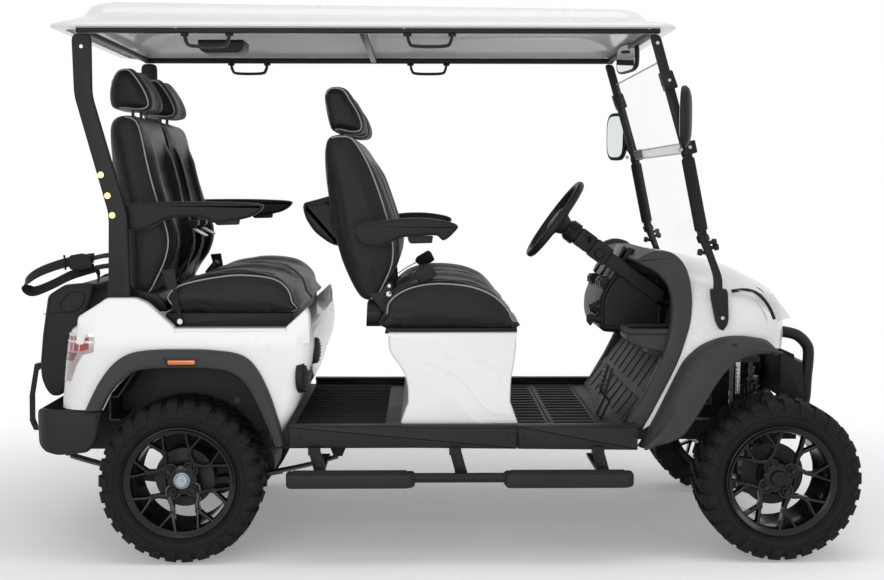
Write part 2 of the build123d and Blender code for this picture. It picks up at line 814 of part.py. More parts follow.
console_half = 235
with BuildPart() as dash_console:
    with BuildSketch(front_side(0)):
        outline([
            (-582, 923), (-537, 999), (-500, 1051.7), (-352 - seam, 1056 - seam), (-335 - seam, 1040),
            (-329 - seam, 918), (-347 - seam, 795), (-357, 765), (-593, 769),
        ])
    extrude(amount=console_half, both=True)
save("dash_console", dash_console.part)

# instrument display on top of the dash
display_y = -150
display_half = 95
with BuildPart() as display:
    with BuildSketch(front_side(display_y)):
        outline([
            (-533, 1044), (-512, 1096), (-498.5, 1090.5), (-503, 1080), (-462, 1084), (-462, 1069.8),
            (-500.3, 1066.3), (-508, 1067), (-519.5, 1038.5),
        ])
    extrude(amount=display_half, both=True)
save("display", display.part)

column_y = -280
column_angle = 36
column_radius = 34
column_base = (-365, 905)
column_length = 445
wheel_offset = 500
column_dir = (-cos(radians(column_angle)), sin(radians(column_angle)))


def along_column(distance):
    # plane across the steering column, normal pointing at the driver
    return Plane(
        origin=(
            front_x + column_base[0] + distance * column_dir[0],
            column_y,
            column_base[1] + distance * column_dir[1],
        ),
        x_dir=(0, 1, 0), z_dir=(column_dir[0], 0, column_dir[1]),
    )


with BuildPart() as steering_column:
    with BuildSketch(along_column(0)):
        Circle(column_radius)
    extrude(amount=column_length)
    with BuildSketch(front_side(column_y)):
        outline([
            (-400, 870), (-400, 950), (-331.3, 950), (-329 - seam, 918), (-336.3, 870),
        ])
    extrude(amount=30, both=True)
save("steering_column", steering_column.part)

wheel_rim = 155
wheel_grip = 14
hub_depth = 40
with BuildPart() as steering_wheel:
    ring_plane = along_column(wheel_offset)
    with BuildSketch(Plane(origin=ring_plane.origin, x_dir=ring_plane.z_dir, z_dir=(0, 1, 0))):
        with Locations((0, wheel_rim)):
            RegularPolygon(wheel_grip, 8)
    revolve(axis=Axis(tuple(ring_plane.origin), tuple(ring_plane.z_dir)))
    with BuildSketch(along_column(column_length + running)):
        Circle(30)
    extrude(amount=wheel_offset - column_length - 22)
    with BuildSketch(along_column(wheel_offset - 28)):
        Circle(52)
    extrude(amount=hub_depth)
    with BuildSketch(along_column(wheel_offset - 8)):
        for turn in (0, 180, 270):
            with Locations(Rotation(0, 0, turn)):
                outline([(30, -20), (wheel_rim, -13), (wheel_rim, 13), (30, 20)])
    extrude(amount=12)
save("steering_wheel", steering_wheel.part)

# centre and half width of the brake and the accelerator
pedal_places = [(-330, 30), (-220, 38)]
with BuildPart() as pedals:
    for pedal_y, pedal_half in pedal_places:
        with BuildSketch(rear_side(pedal_y)):
            outline([
                (toe_foot - 50, floor_top + seam), (toe_foot - 22, 530), (toe_foot - 34, 555),
                (toe_foot - 10, 652), (toe_foot + 4, 648), (toe_foot - 8, 575), (toe_foot - 6, 530),
                (toe_foot - 28, floor_top + seam),
            ])
        extrude(amount=pedal_half, both=True)
save("pedals", pedals.part)

# ---- front bumper --------------------------------------------------------------------------------
hoop_y = 270
hoop_radius = 19
bar_radius = 15
plate_x = 192
plate_low = 550
plate_high = 685
plate_hole_pitch = 178      # two-hole number plate fixing
plate_hole = 3.5
with BuildPart() as front_bumper:
    for side in (1, -1):
        with BuildLine(front_side(side * hoop_y)):
            FilletPolyline((150, 375), (150, 505), (205, 530), (205, 690), (165, 715), (80, 715), radius=40)
        with BuildSketch(Plane(origin=(front_x + 150, side * hoop_y, 375), z_dir=(0, 0, 1))):
            Circle(hoop_radius)
        sweep()
        with BuildSketch(Plane.XY.offset(378)):
            outline([
                (front_x + 132, side * (front_rail_half + seam)), (front_x + 132, side * hoop_y),
                (front_x + 168, side * hoop_y), (front_x + 168, side * (front_rail_half + seam)),
            ])
        extrude(amount=36)
    for bar_z in (plate_high + 5, plate_low - 5):
        with BuildSketch(Plane(origin=(front_x + 205, 0, bar_z), z_dir=(0, 1, 0))):
            Circle(bar_radius)
        extrude(amount=hoop_y, both=True)
    # plate between the hoops, drilled for a number plate
    with BuildSketch(section(front_x + plate_x)):
        outline([(-150, plate_low), (150, plate_low), (150, plate_high), (-150, plate_high)])
        with Locations((0, (plate_low + plate_high) / 2)):
            with GridLocations(plate_hole_pitch, 0, 2, 1):
                Circle(plate_hole, mode=Mode.SUBTRACT)
    extrude(amount=8)
save("front_bumper", front_bumper.part)

# ---- side steps -----------------------------------------------------------------------------------
step_rear = 369
step_front = wheelbase - 526
step_top = 327
step_thick = 35
rail_out = rail_half + rail_width / 2
with BuildPart() as side_steps:
    for side in (1, -1):
        with BuildSketch(Plane.XY.offset(step_top - step_thick)):
            outline([
                (rear_x + x, side * (body_half + y))
                for x, y in (
                    (step_rear, 25), (step_rear, 90), (800, 90), (835, 60), (1115, 60), (1150, 90),
                    (step_front, 90), (step_front, 25), (1150, 25), (1115, 10), (835, 10), (800, 25),
                )
            ])
            fillet(vertices(), radius=12)
        extrude(amount=step_thick)
        for bracket_x in (470, 963, 1466):
            with BuildSketch(section(rear_x + bracket_x - 20)):
                outline([
                    (side * (rail_out + seam), 375), (side * (rail_out + seam), 420), (side * 440, 400),
                    (side * (body_half + 50), step_top), (side * (body_half + 50), step_top - 27),
                    (side * 440, 350),
                ])
            extrude(amount=40)
save("side_steps", side_steps.part)

# ---- canopy ----------------------------------------------------------------------------------------
canopy_rear = -444
canopy_front = 1736
roof_low = canopy_base + rail_thick + seam
canopy_mid = rear_x + (canopy_rear + canopy_front) / 2
canopy_length = canopy_front - canopy_rear


crown_rise = 112            # highest part of the canopy over its rail's underside
crown_height = canopy_base + crown_rise
# height, how far the edge lies inside the canopy's outline
canopy_levels = [
    (roof_low, 4), (roof_low + 8, 0), (roof_low + 16, 4), (roof_low + 28, 42), (roof_low + 45, 92),
    (crown_height - 10, 118),
]
canopy_corner = 90
crown_inset = 170
crown_slope = 0.012         # the top falls towards the front
canopy_wall = 12


def roof_block(inset, drop):
    with BuildPart() as block:
        for height, inside in canopy_levels:
            with BuildSketch(Plane.XY.offset(height - drop)):
                with Locations((canopy_mid, 0)):
                    edge = inside + inset
                    RectangleRounded(canopy_length - 2 * edge, 2 * (canopy_half - edge), canopy_corner)
        crown = Plane(
            origin=(canopy_mid, 0, crown_height - drop), x_dir=(1, 0, -crown_slope), z_dir=(crown_slope, 0, 1)
        )
        with BuildSketch(crown):
            edge = crown_inset + inset
            RectangleRounded(canopy_length - 2 * edge, 2 * (canopy_half - edge), canopy_corner)
        loft(ruled=True)
    return block.part


with BuildPart() as roof_shell:
    add(roof_block(0, 0))
    add(roof_block(canopy_wall, canopy_wall), mode=Mode.SUBTRACT)
save("roof_shell", roof_shell.part)

cross_bars = [-342, 385, 1645]
bars_length = cross_bars[2] + rail_pipe - cross_bars[0]
with BuildPart() as roof_frame:
    for side in (1, -1):
        with BuildSketch(Plane.XY.offset(canopy_base)):
            with Locations((rear_x + cross_bars[0] + bars_length / 2, side * strut_y)):
                Rectangle(bars_length, rail_pipe)
        extrude(amount=rail_thick)
    for bar_x in cross_bars:
        with BuildSketch(Plane.XY.offset(canopy_base)):
            with Locations((rear_x + bar_x + rail_pipe / 2, 0)):
                Rectangle(rail_pipe, 2 * strut_y)
        extrude(amount=rail_thick)
save("roof_frame", roof_frame.part)

strut_top = canopy_base - seam
with BuildPart() as struts:
    for side in (1, -1):
        with BuildSketch(rear_side(side * strut_y)):
            outline([
                (-359, strut_top), (-354, 1634), (-242, 1223), (-250, deck_height + 85 + seam),
                (-166, deck_height + 85 + seam), (-172, 1223), (-291, 1634), (-290, strut_top),
            ])
        extrude(amount=strut_thick / 2, both=True)
        with BuildSketch(front_side(side * strut_y)):
            outline([
                (-475, strut_top), (-360, 1451), (-296, 1143), (-240, 960), (-248, 850), (-225, 806),
                (-200, 812), (-184, 850), (-182, 965), (-202, 965), (-262, 1143), (-324, 1451),
                (-438, strut_top),
            ])
        extrude(amount=strut_thick / 2, both=True)
        with BuildSketch(front_side(side * (cowl_half + seam))):
            outline([(-240, 955), (-246, 850), (-225, 812), (-200, 816), (-188, 850), (-186, 955)])
        extrude(amount=-side * (strut_y - strut_thick / 2 - cowl_half - seam))
save("struts", struts.part)

pane_half = strut_y - 18
with BuildPart() as windshield:
    with BuildSketch(front_side(0)):
        outline([(-456, strut_top), (-346, 1468), (-339, 1468), (-449, strut_top)])
        outline([(-348, 1442), (-348, 1468), (-330, 1468), (-330, 1442)])
        outline([(-342, 1442), (-277, 1143), (-250, 1063), (-243, 1063), (-270, 1143), (-335, 1442)])
    extrude(amount=pane_half, both=True)
save("windshield", windshield.part)

mirror_z = 1550
with BuildPart() as mirrors:
    for side in (1, -1):
        with BuildSketch(section(front_x - 395)):
            with Locations((side * (strut_y + 85), mirror_z)):
                RectangleRounded(108, 216, 40)
        extrude(amount=34)
        strut_face = strut_y + strut_thick / 2 + seam
        with BuildSketch(Plane(origin=(front_x - 366, side * strut_face, mirror_z - 60), z_dir=(0, side, 0))):
            RegularPolygon(9, 12)
        extrude(amount=60)
    with BuildSketch(section(rear_x + 1600)):
        with Locations((0, 1790)):
            RectangleRounded(260, 90, 30)
    extrude(amount=22)
    with BuildSketch(rear_side(0)):
        outline([(1612, 1800), (1645, strut_top), (1651, strut_top), (1622, 1790)])
    extrude(amount=14, both=True)
save("mirrors", mirrors.part)

with BuildPart() as roof_handles:
    for handle_x in (28, 797):
        with BuildSketch(rear_side(strut_y)):
            outline([
                (handle_x, strut_top), (handle_x + 14, 1804), (handle_x + 140, 1804),
                (handle_x + 154, strut_top), (handle_x + 138, strut_top), (handle_x + 126, 1818),
                (handle_x + 28, 1818), (handle_x + 16, strut_top),
            ])
        extrude(amount=12, both=True)
    with BuildSketch(rear_side(-strut_y)):
        outline([(40, strut_top), (52, 1806), (66, 1800), (180, 1800), (196, 1806), (210, strut_top)])
    extrude(amount=14, both=True)
save("roof_handles", roof_handles.part)

# ---- seats -------------------------------------------------------------------------------------------
# Each row stands on its deck. The profiles are (x, z), z measured from the top of the row's tray.
back_mid = (seat_half + seat_gap) / 2
rows = {
    "front": dict(
        deck=box_top,
        tray=11,
        base=(640, 1184),
        cushion=[(722, 0), (716, 92), (830, 155), (1000, 157), (1118, 112), (1170, 45), (1168, 0)],
        back=[(636, 85.7), (602, 135), (540, 330), (500, 612), (506, 683), (600, 683), (688, 508), (740, 300),
              (737, 210), (716, 155), (690, 85.7)],
        headrest=[(520, 697), (494, 835), (510, 860), (568, 853), (634, 722), (614, 697)],
        bar=(640, 700, 85.4),
        plate=[(610, 0), (706, 0), (700, 83), (690, 363), (610, 363), (618, 183)],
        arm=[(606, 364), (612, 330), (645, 290), (700, 292), (790, 328), (905, 330), (922, 312), (976, 360),
             (944, 380), (865, 393), (719, 384)],
        pin=(650, 332.7),
    ),
    "rear": dict(
        deck=deck_height,
        tray=22,
        base=(-192, 388),
        cushion=[(-18, 0), (-58, 62), (-20, 102), (184, 138), (300, 132), (372, 92), (390, 42), (384, 0)],
        back=[(-188, 57.7), (-222, 218), (-256, 548), (-262, 668), (-240, 702), (-166, 702), (-146, 648),
              (-58, 285), (-62, 200), (-128, 57.7)],
        headrest=[(-268, 718), (-282, 770), (-252, 866), (-200, 868), (-150, 790), (-136, 745), (-160, 718)],
        bar=(-184, -134, 57.4),
        plate=[(-190, 0), (-120, 0), (-104, 140), (-112, 388), (-188, 388), (-176, 140)],
        arm=[(-226, 372), (-211, 324), (-178, 293), (-135, 293), (-22, 338), (67, 336), (104, 318),
             (237, 337), (289, 372), (281, 389), (104, 396), (-60, 394), (-200, 384)],
        pin=(-150, 349.7),
    ),
}
arm_inner = seat_half + seam + plate_thick + 0.7
arm_reach = 30              # the pin's length inside the armrest
tray_half = 530


def row_side(row, y):
    return Plane(origin=(rear_x, y, row["deck"] + row["tray"] + seam), x_dir=(1, 0, 0), z_dir=(0, -1, 0))


with BuildPart() as cushions:
    for row in rows.values():
        for side in (1, -1):
            with BuildSketch(row_side(row, side * 4)):
                soft_outline(row["cushion"], 16)
            extrude(amount=-side * (tray_half + 5 - 4))
save("cushions", cushions.part)

with BuildPart() as seat_backs:
    for row in rows.values():
        for side in (1, -1):
            with BuildSketch(row_side(row, side * seat_gap)):
                soft_outline(row["back"], 16)
            extrude(amount=-side * (seat_half - seat_gap))
save("seat_backs", seat_backs.part)

# pouches on the rear faces of the front backs
pouch_half = 160
with BuildPart() as seat_pockets:
    for side in (1, -1):
        with BuildSketch(row_side(rows["front"], side * back_mid)):
            outline([
                (424, 441), (520.4, 466), (539.7, 330), (552.4, 290), (520, 298), (478, 323), (443, 364),
                (419, 425),
            ])
        extrude(amount=pouch_half, both=True)
save("seat_pockets", seat_pockets.part)

headrest_half = 135
post_spread = 70
post_radius = 6
with BuildPart() as headrests:
    for row in rows.values():
        for side in (1, -1):
            with BuildSketch(row_side(row, side * back_mid)):
                soft_outline(row["headrest"], 12)
            extrude(amount=headrest_half, both=True)
save("headrests", headrests.part)

with BuildPart() as seat_frames:
    for row in rows.values():
        rear, front = row["base"]
        with BuildSketch(row_side(row, 0)):
            outline([(rear, -row["tray"]), (front, -row["tray"]), (front - 4, -seam), (rear + 4, -seam)])
        extrude(amount=tray_half, both=True)
        rear, front, top = row["bar"]
        with BuildSketch(row_side(row, 0)):
            outline([(rear, -seam), (front, -seam), (front, top), (rear, top)])
        extrude(amount=seat_half + seam, both=True)
        # posts between a back and its headrest
        top_z = max(z for x, z in row["back"])
        low_z = min(z for x, z in row["headrest"])
        post_x = sum(x for x, z in row["headrest"]) / len(row["headrest"])
        for side in (1, -1):
            with BuildSketch(row_side(row, side * (seat_half + seam))):
                outline(row["plate"])
            extrude(amount=-side * plate_thick)
            with BuildSketch(row_side(row, side * (seat_half + seam))):
                with Locations(row["pin"]):
                    Circle(armrest_pin)
            extrude(amount=-side * (plate_thick + arm_reach))
            for post_y in (back_mid - post_spread, back_mid + post_spread):
                with BuildSketch(Plane.XY.offset(row["deck"] + row["tray"] + top_z + 2 * seam)):
                    with Locations((rear_x + post_x, side * post_y)):
                        RegularPolygon(post_radius, 12)
                extrude(amount=low_z - top_z - 2 * seam)
save("seat_frames", seat_frames.part)


def make_armrest(row, side):
    with BuildPart() as armrest:
        with BuildSketch(row_side(row, side * arm_inner)):
            soft_outline(row["arm"], 6)
        extrude(amount=-side * armrest_width)
        with BuildSketch(row_side(row, side * arm_inner)):
            with Locations(row["pin"]):
                Circle(armrest_pin + running)
        extrude(amount=-side * (arm_reach + 1), mode=Mode.SUBTRACT)
    return armrest.part


for row_name, row in rows.items():
    for side_name, side in (("left", 1), ("right", -1)):
        save(f"armrest_{row_name}_{side_name}", make_armrest(row, side))
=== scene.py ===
"""Looks of the four-seat golf cart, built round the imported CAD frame. Metres, X forward, Y left, Z up."""

import math

import bmesh
import bpy
from mathutils import Matrix, Vector
from mathutils.bvhtree import BVHTree
from mathutils.kdtree import KDTree


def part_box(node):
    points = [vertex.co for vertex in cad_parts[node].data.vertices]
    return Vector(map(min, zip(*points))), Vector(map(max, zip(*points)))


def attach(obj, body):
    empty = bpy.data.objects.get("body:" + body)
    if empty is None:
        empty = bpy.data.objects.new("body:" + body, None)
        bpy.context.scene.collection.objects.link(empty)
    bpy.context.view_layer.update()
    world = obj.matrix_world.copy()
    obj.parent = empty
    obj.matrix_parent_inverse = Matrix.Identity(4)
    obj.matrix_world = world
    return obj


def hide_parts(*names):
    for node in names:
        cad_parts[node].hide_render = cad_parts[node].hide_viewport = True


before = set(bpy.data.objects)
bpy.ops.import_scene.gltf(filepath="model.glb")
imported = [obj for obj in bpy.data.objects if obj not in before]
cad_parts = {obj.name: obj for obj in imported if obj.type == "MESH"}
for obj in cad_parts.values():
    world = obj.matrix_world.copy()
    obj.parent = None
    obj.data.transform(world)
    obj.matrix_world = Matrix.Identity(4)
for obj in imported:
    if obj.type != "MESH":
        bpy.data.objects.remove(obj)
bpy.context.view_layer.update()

# ---- places read from the frame ------------------------------------------------------------------


def centre_of(node):
    low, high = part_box(node)
    return (Vector(low) + Vector(high)) / 2


REAR = centre_of("tyre_rear_right").x
FRONT = centre_of("tyre_front_right").x
HUB = centre_of("tyre_rear_right").z
MM = 0.001
BODY = "cart"
SIDES = (1, -1)
UP = (0, 0, 1)
ACROSS = (0, 1, 0)


def at_rear(x, y, z):
    """A point given in mm with x measured from the rear axle."""
    return Vector((REAR + x * MM, y * MM, z * MM))


def at_front(x, y, z):
    """A point given in mm with x measured from the front axle."""
    return Vector((FRONT + x * MM, y * MM, z * MM))


# ---- materials -----------------------------------------------------------------------------------


def feed(tree, node, inputs):
    """Sets each named or numbered input of a node to a value, or links it to another node's output."""
    for name, value in inputs.items():
        if isinstance(value, bpy.types.NodeSocket):
            tree.links.new(value, node.inputs[name])
        else:
            node.inputs[name].default_value = value


def add_node(tree, kind, inputs=None, **settings):
    node = tree.nodes.new("ShaderNode" + kind)
    for name, value in settings.items():
        setattr(node, name, value)
    feed(tree, node, inputs or {})
    return node


def new_material(name):
    mat = bpy.data.materials.new(name)
    mat.use_nodes = True
    return mat, mat.node_tree, mat.node_tree.nodes["Principled BSDF"]


def surface(name, color, rough, metal=0.0, coat=0.0, vary=0.12, vary_scale=6.0, rough_vary=0.08,
            grain=0.0, grain_scale=900.0, grain_depth=0.0002, sheen=0.0, specular=0.5, cells=False):
    """A finish with colour and gloss variation from noise and a fine grain in the bump."""
    mat, tree, shader = new_material(name)
    place = add_node(tree, "TexCoord").outputs["Object"]
    broad = add_node(tree, "TexNoise", {"Scale": vary_scale, "Detail": 5.0, "Vector": place}).outputs["Fac"]
    ramp = add_node(tree, "ValToRGB", {"Fac": broad})
    for stop, position, factor in zip(ramp.color_ramp.elements, (0.3, 0.7), (1 - vary, 1 + vary)):
        stop.position = position
        stop.color = [min(1.0, c * factor) for c in color] + [1]
    gloss = add_node(tree, "MapRange", {
        "To Min": max(0.02, rough - rough_vary), "To Max": min(1.0, rough + rough_vary), "Value": broad})
    feed(tree, shader, {
        "Metallic": metal, "Coat Weight": coat, "Coat Roughness": 0.06, "Sheen Weight": sheen,
        "Sheen Roughness": 0.4, "Specular IOR Level": specular, "Base Color": ramp.outputs["Color"],
        "Roughness": gloss.outputs["Result"]})
    if grain:
        kind, height = ("TexVoronoi", "Distance") if cells else ("TexNoise", "Fac")
        fine = add_node(tree, kind, {"Scale": grain_scale, "Vector": place}).outputs[height]
        bump = add_node(tree, "Bump", {"Strength": grain, "Distance": grain_depth, "Height": fine})
        feed(tree, shader, {"Normal": bump.outputs["Normal"]})
    return mat


def moulding(name, color, rough, vary, specular=0.17):
    """Grained plastic."""
    return surface(name, color, rough, vary=vary, grain=0.5, grain_scale=1400, grain_depth=0.0004,
                   specular=specular)


WHITE = surface("white_gelcoat", (0.84, 0.845, 0.85), 0.28, coat=0.5, vary=0.004, rough_vary=0.02, grain=0.03,
                grain_scale=900, grain_depth=0.0001)
CHARCOAL = moulding("charcoal_moulding", (0.040, 0.041, 0.043), 0.52, 0.10, specular=0.2)
BLACK = moulding("black_moulding", (0.014, 0.014, 0.015), 0.45, 0.15)
POWDER = surface("black_powder_coat", (0.013, 0.013, 0.014), 0.38, vary=0.2, grain=0.35,
                 grain_scale=2200, grain_depth=0.0003, specular=0.18)
VINYL = surface("black_vinyl", (0.011, 0.0112, 0.0125), 0.40, vary=0.15, rough_vary=0.06, grain=0.7,
                grain_scale=620, grain_depth=0.0005, sheen=0.15, cells=True, specular=0.18)
PIPING_DARK = surface("dark_piping", (0.030, 0.030, 0.032), 0.5, grain=0.4, grain_scale=1500)
PIPING = surface("grey_piping", (0.30, 0.30, 0.31), 0.5, grain=0.4, grain_scale=1500)
MAT = surface("rubber_mat", (0.020, 0.021, 0.023), 0.55, vary=0.2, grain=0.6, grain_scale=1100, specular=0.17)
FOAM = surface("foam_sleeve", (0.016, 0.0145, 0.0135), 0.8, vary=0.25, grain=0.9, grain_scale=420,
               specular=0.2)
SILL = moulding("sill_moulding", (0.021, 0.0212, 0.022), 0.5, 0.10)
BRONZE = surface("spring_steel", (0.085, 0.062, 0.042), 0.45, metal=0.4, vary=0.3, grain=0.4)
EDGE_GREY = surface("pane_edge", (0.42, 0.44, 0.45), 0.3, vary=0.05)
SCREEN = surface("dark_screen", (0.018, 0.028, 0.024), 0.35, vary=0.1, specular=0.15)
TYRE = surface("tyre_rubber", (0.0115, 0.0115, 0.012), 0.75, vary=0.25, vary_scale=14, grain=0.6,
               grain_scale=900, grain_depth=0.0006, specular=0.17)
ALLOY = surface("gloss_black_alloy", (0.0035, 0.0035, 0.004), 0.22, coat=0.25, vary=0.2, grain=0.05,
                specular=0.2)
CAST = surface("cast_iron", (0.035, 0.034, 0.033), 0.6, metal=0.6, vary=0.3, grain=0.8, grain_scale=500)
STEEL = surface("zinc_steel", (0.45, 0.45, 0.44), 0.3, metal=1.0, vary=0.12, grain=0.2)
BRASS = surface("gold_bolt", (0.62, 0.50, 0.26), 0.3, metal=1.0, vary=0.1, grain=0.2)
WEBBING = surface("webbing", (0.012, 0.012, 0.013), 0.7, vary=0.2, grain=0.9, grain_scale=500,
                  grain_depth=0.0006, sheen=0.3, specular=0.2)
GRIP = surface("wheel_grip", (0.012, 0.012, 0.012), 0.42, vary=0.15, grain=0.6, grain_scale=800, cells=True,
               specular=0.2)
AMBER = surface("amber_lens", (0.75, 0.16, 0.01), 0.15, coat=0.8, vary=0.05, grain=0.2, grain_scale=300)
RED = surface("red_lens", (0.35, 0.012, 0.012), 0.15, coat=0.9, vary=0.08, grain=0.3, grain_scale=250)
RED_DARK = surface("dark_red_lens", (0.16, 0.02, 0.02), 0.15, coat=0.9, vary=0.08)
PINK_LENS = surface("pale_lens", (0.40, 0.33, 0.32), 0.12, coat=0.9, vary=0.15, vary_scale=40, grain=0.6,
                    grain_scale=220)
LAMP_TRIM = surface("chrome_trim", (0.60, 0.61, 0.62), 0.15, metal=0.6, vary=0.08)
MIRROR = surface("mirror_glass", (0.75, 0.77, 0.78), 0.03, metal=1.0, vary=0.01, rough_vary=0.01)
STEEL_DARK = surface("dark_nut", (0.03, 0.03, 0.032), 0.3, metal=0.9, vary=0.15, grain=0.2)
HUB_SILVER = surface("hub_silver", (0.36, 0.40, 0.44), 0.32, metal=0.9, vary=0.08, grain=0.2)


def clear_sheet(name, color, alpha, rough):
    """See-through plastic with a faint haze."""
    mat, tree, shader = new_material(name)
    place = add_node(tree, "TexCoord").outputs["Object"]
    haze = add_node(tree, "TexNoise", {"Scale": 3.0, "Vector": place}).outputs["Fac"]
    gloss = add_node(tree, "MapRange", {"To Min": rough, "To Max": rough + 0.05, "Value": haze})
    feed(tree, shader, {
        "Base Color": (*color, 1), "Alpha": alpha, "Specular IOR Level": 0.3,
        "Roughness": gloss.outputs["Result"]})
    return mat


CLEAR = clear_sheet("clear_acrylic", (0.93, 0.95, 0.96), 0.05, 0.02)
SMOKE = clear_sheet("smoke_strip", (0.45, 0.46, 0.47), 0.35, 0.15)
LENS = clear_sheet("lamp_lens", (0.80, 0.82, 0.84), 0.45, 0.05)

NODE_MATERIAL = {
    "frame": POWDER, "floor": MAT, "sills": CHARCOAL, "rear_body": WHITE, "rear_liners": BLACK,
    "flares": CHARCOAL, "rear_bumper": BLACK, "rear_box": BLACK, "tail_lamps": RED, "bag_strap": WEBBING,
    "seat_box": WHITE, "battery": BLACK, "front_cowl": WHITE, "headlamps": LENS, "dash": CHARCOAL,
    "dash_console": BLACK, "pedals": POWDER, "steering_column": BLACK, "front_bumper": POWDER,
    "side_steps": POWDER, "roof_shell": WHITE, "roof_frame": POWDER, "struts": POWDER, "windshield": CLEAR,
    "mirrors": BLACK, "roof_handles": BLACK, "cushions": VINYL, "seat_backs": VINYL, "headrests": VINYL,
    "seat_frames": POWDER, "rear_axle": CAST, "motor": CAST, "springs": BRONZE, "front_arms": POWDER,
    "steering_gear": CAST, "knuckle_left": CAST, "knuckle_right": CAST, "tie_rods": STEEL,
    "steering_wheel": GRIP, "shocks": BLACK, "seat_pockets": VINYL, "display": BLACK, "rear_guard": POWDER,
}
for node_name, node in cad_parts.items():
    finish = NODE_MATERIAL.get(node_name)
    if finish is None:
        finish = TYRE if node_name.startswith("tyre") else ALLOY if node_name.startswith("rim") else VINYL
    node.data.materials.clear()
    node.data.materials.append(finish)

# ---- mesh helpers --------------------------------------------------------------------------------


def plain_object(name, bm):
    """A mesh object; the bmesh is used up."""
    mesh = bpy.data.meshes.new(name)
    bm.to_mesh(mesh)
    bm.free()
    piece = bpy.data.objects.new(name, mesh)
    bpy.context.scene.collection.objects.link(piece)
    return piece


def raw_object(name, bm):
    """A plain object with its faces turned outwards."""
    bmesh.ops.recalc_face_normals(bm, faces=bm.faces)
    return plain_object(name, bm)


def dress(piece, material, body=BODY, smooth=40, bevel=0.0, replaces=(), slot=None):
    """Finish, edge radius (mm), shading angle, body and replaced nodes of a mesh object; slot is not used."""
    piece.data.materials.clear()
    piece.data.materials.append(material)
    if bevel:
        edge = piece.modifiers.new("edge", "BEVEL")
        edge.width = bevel * MM
        edge.segments = 3
        edge.limit_method = "ANGLE"
        edge.angle_limit = math.radians(35)
    piece.data.shade_smooth()
    piece.data.set_sharp_from_angle(angle=math.radians(smooth))
    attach(piece, body)
    if replaces:
        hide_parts(*replaces)
    return piece


def add_piece(name, bm, material, **finish):
    """Turns a bmesh into a finished piece that rides on a body."""
    return dress(raw_object(name, bm), material, **finish)


def new_meshes(count):
    """As many empty bmeshes as the count."""
    return [bmesh.new() for _ in range(count)]


# ---- wheels --------------------------------------------------------------------------------------
# Wheel pieces are modelled round the origin: u points out of the cart, the wheel turns in (x, z).
TREAD_BASE = 0.2765
PITCHES = 30
HALF_TRACK = 0.525
NUT_CIRCLE = 0.054
NUT_TURNS = [90 * k + 22 for k in range(4)]
# half of the carcass section: (u, radius), bead to crown
CARCASS = [
    (0.097, 0.1785), (0.0975, 0.196), (0.104, 0.204), (0.1150, 0.2165), (0.1205, 0.234), (0.1195, 0.250),
    (0.1145, 0.263), (0.1050, 0.2715), (0.090, 0.2755), (0.060, TREAD_BASE), (0.025, 0.2770),
]


def ring_points(profile, steps):
    """Copies of a (u, radius) profile turned round the wheel's axle."""
    return [
        [(radius * math.cos(2 * math.pi * k / steps), u, radius * math.sin(2 * math.pi * k / steps))
         for u, radius in profile]
        for k in range(steps)
    ]


def add_rings(bm, rings, closed_ring=True, closed_loop=True, caps=False):
    """Skins a list of point rings with quads."""
    made = [[bm.verts.new(p) for p in ring] for ring in rings]
    count = len(made[0])
    loops = len(made)
    for a in range(loops if closed_loop else loops - 1):
        here, there = made[a], made[(a + 1) % loops]
        for b in range(count if closed_ring else count - 1):
            bm.faces.new((here[b], here[(b + 1) % count], there[(b + 1) % count], there[b]))
    if caps:
        bm.faces.new(made[0][::-1])
        bm.faces.new(made[-1])
    return made


def add_loft(bm, rings):
    """Skins rings from the first to the last and closes both ends."""
    add_rings(bm, rings, closed_loop=False, caps=True)


def loft(rings):
    bm = bmesh.new()
    add_loft(bm, rings)
    return bm


def lug(bm, rows, tip=0.86):
    """A tread block from rows of (u, radius, start angle, end angle, height)."""
    top, base = [], []
    for u, radius, start, end, height in rows:
        middle, half = (start + end) / 2, (end - start) / 2
        for ring, r, spread in ((base, radius - 0.003, 1.0), (top, radius + height, tip)):
            ring.append([
                (r * math.cos(middle + s * half * spread), u, r * math.sin(middle + s * half * spread))
                for s in (-1, 1)
            ])
    sections = [[b[0], b[1], t[1], t[0]] for b, t in zip(base, top)]
    add_loft(bm, sections)


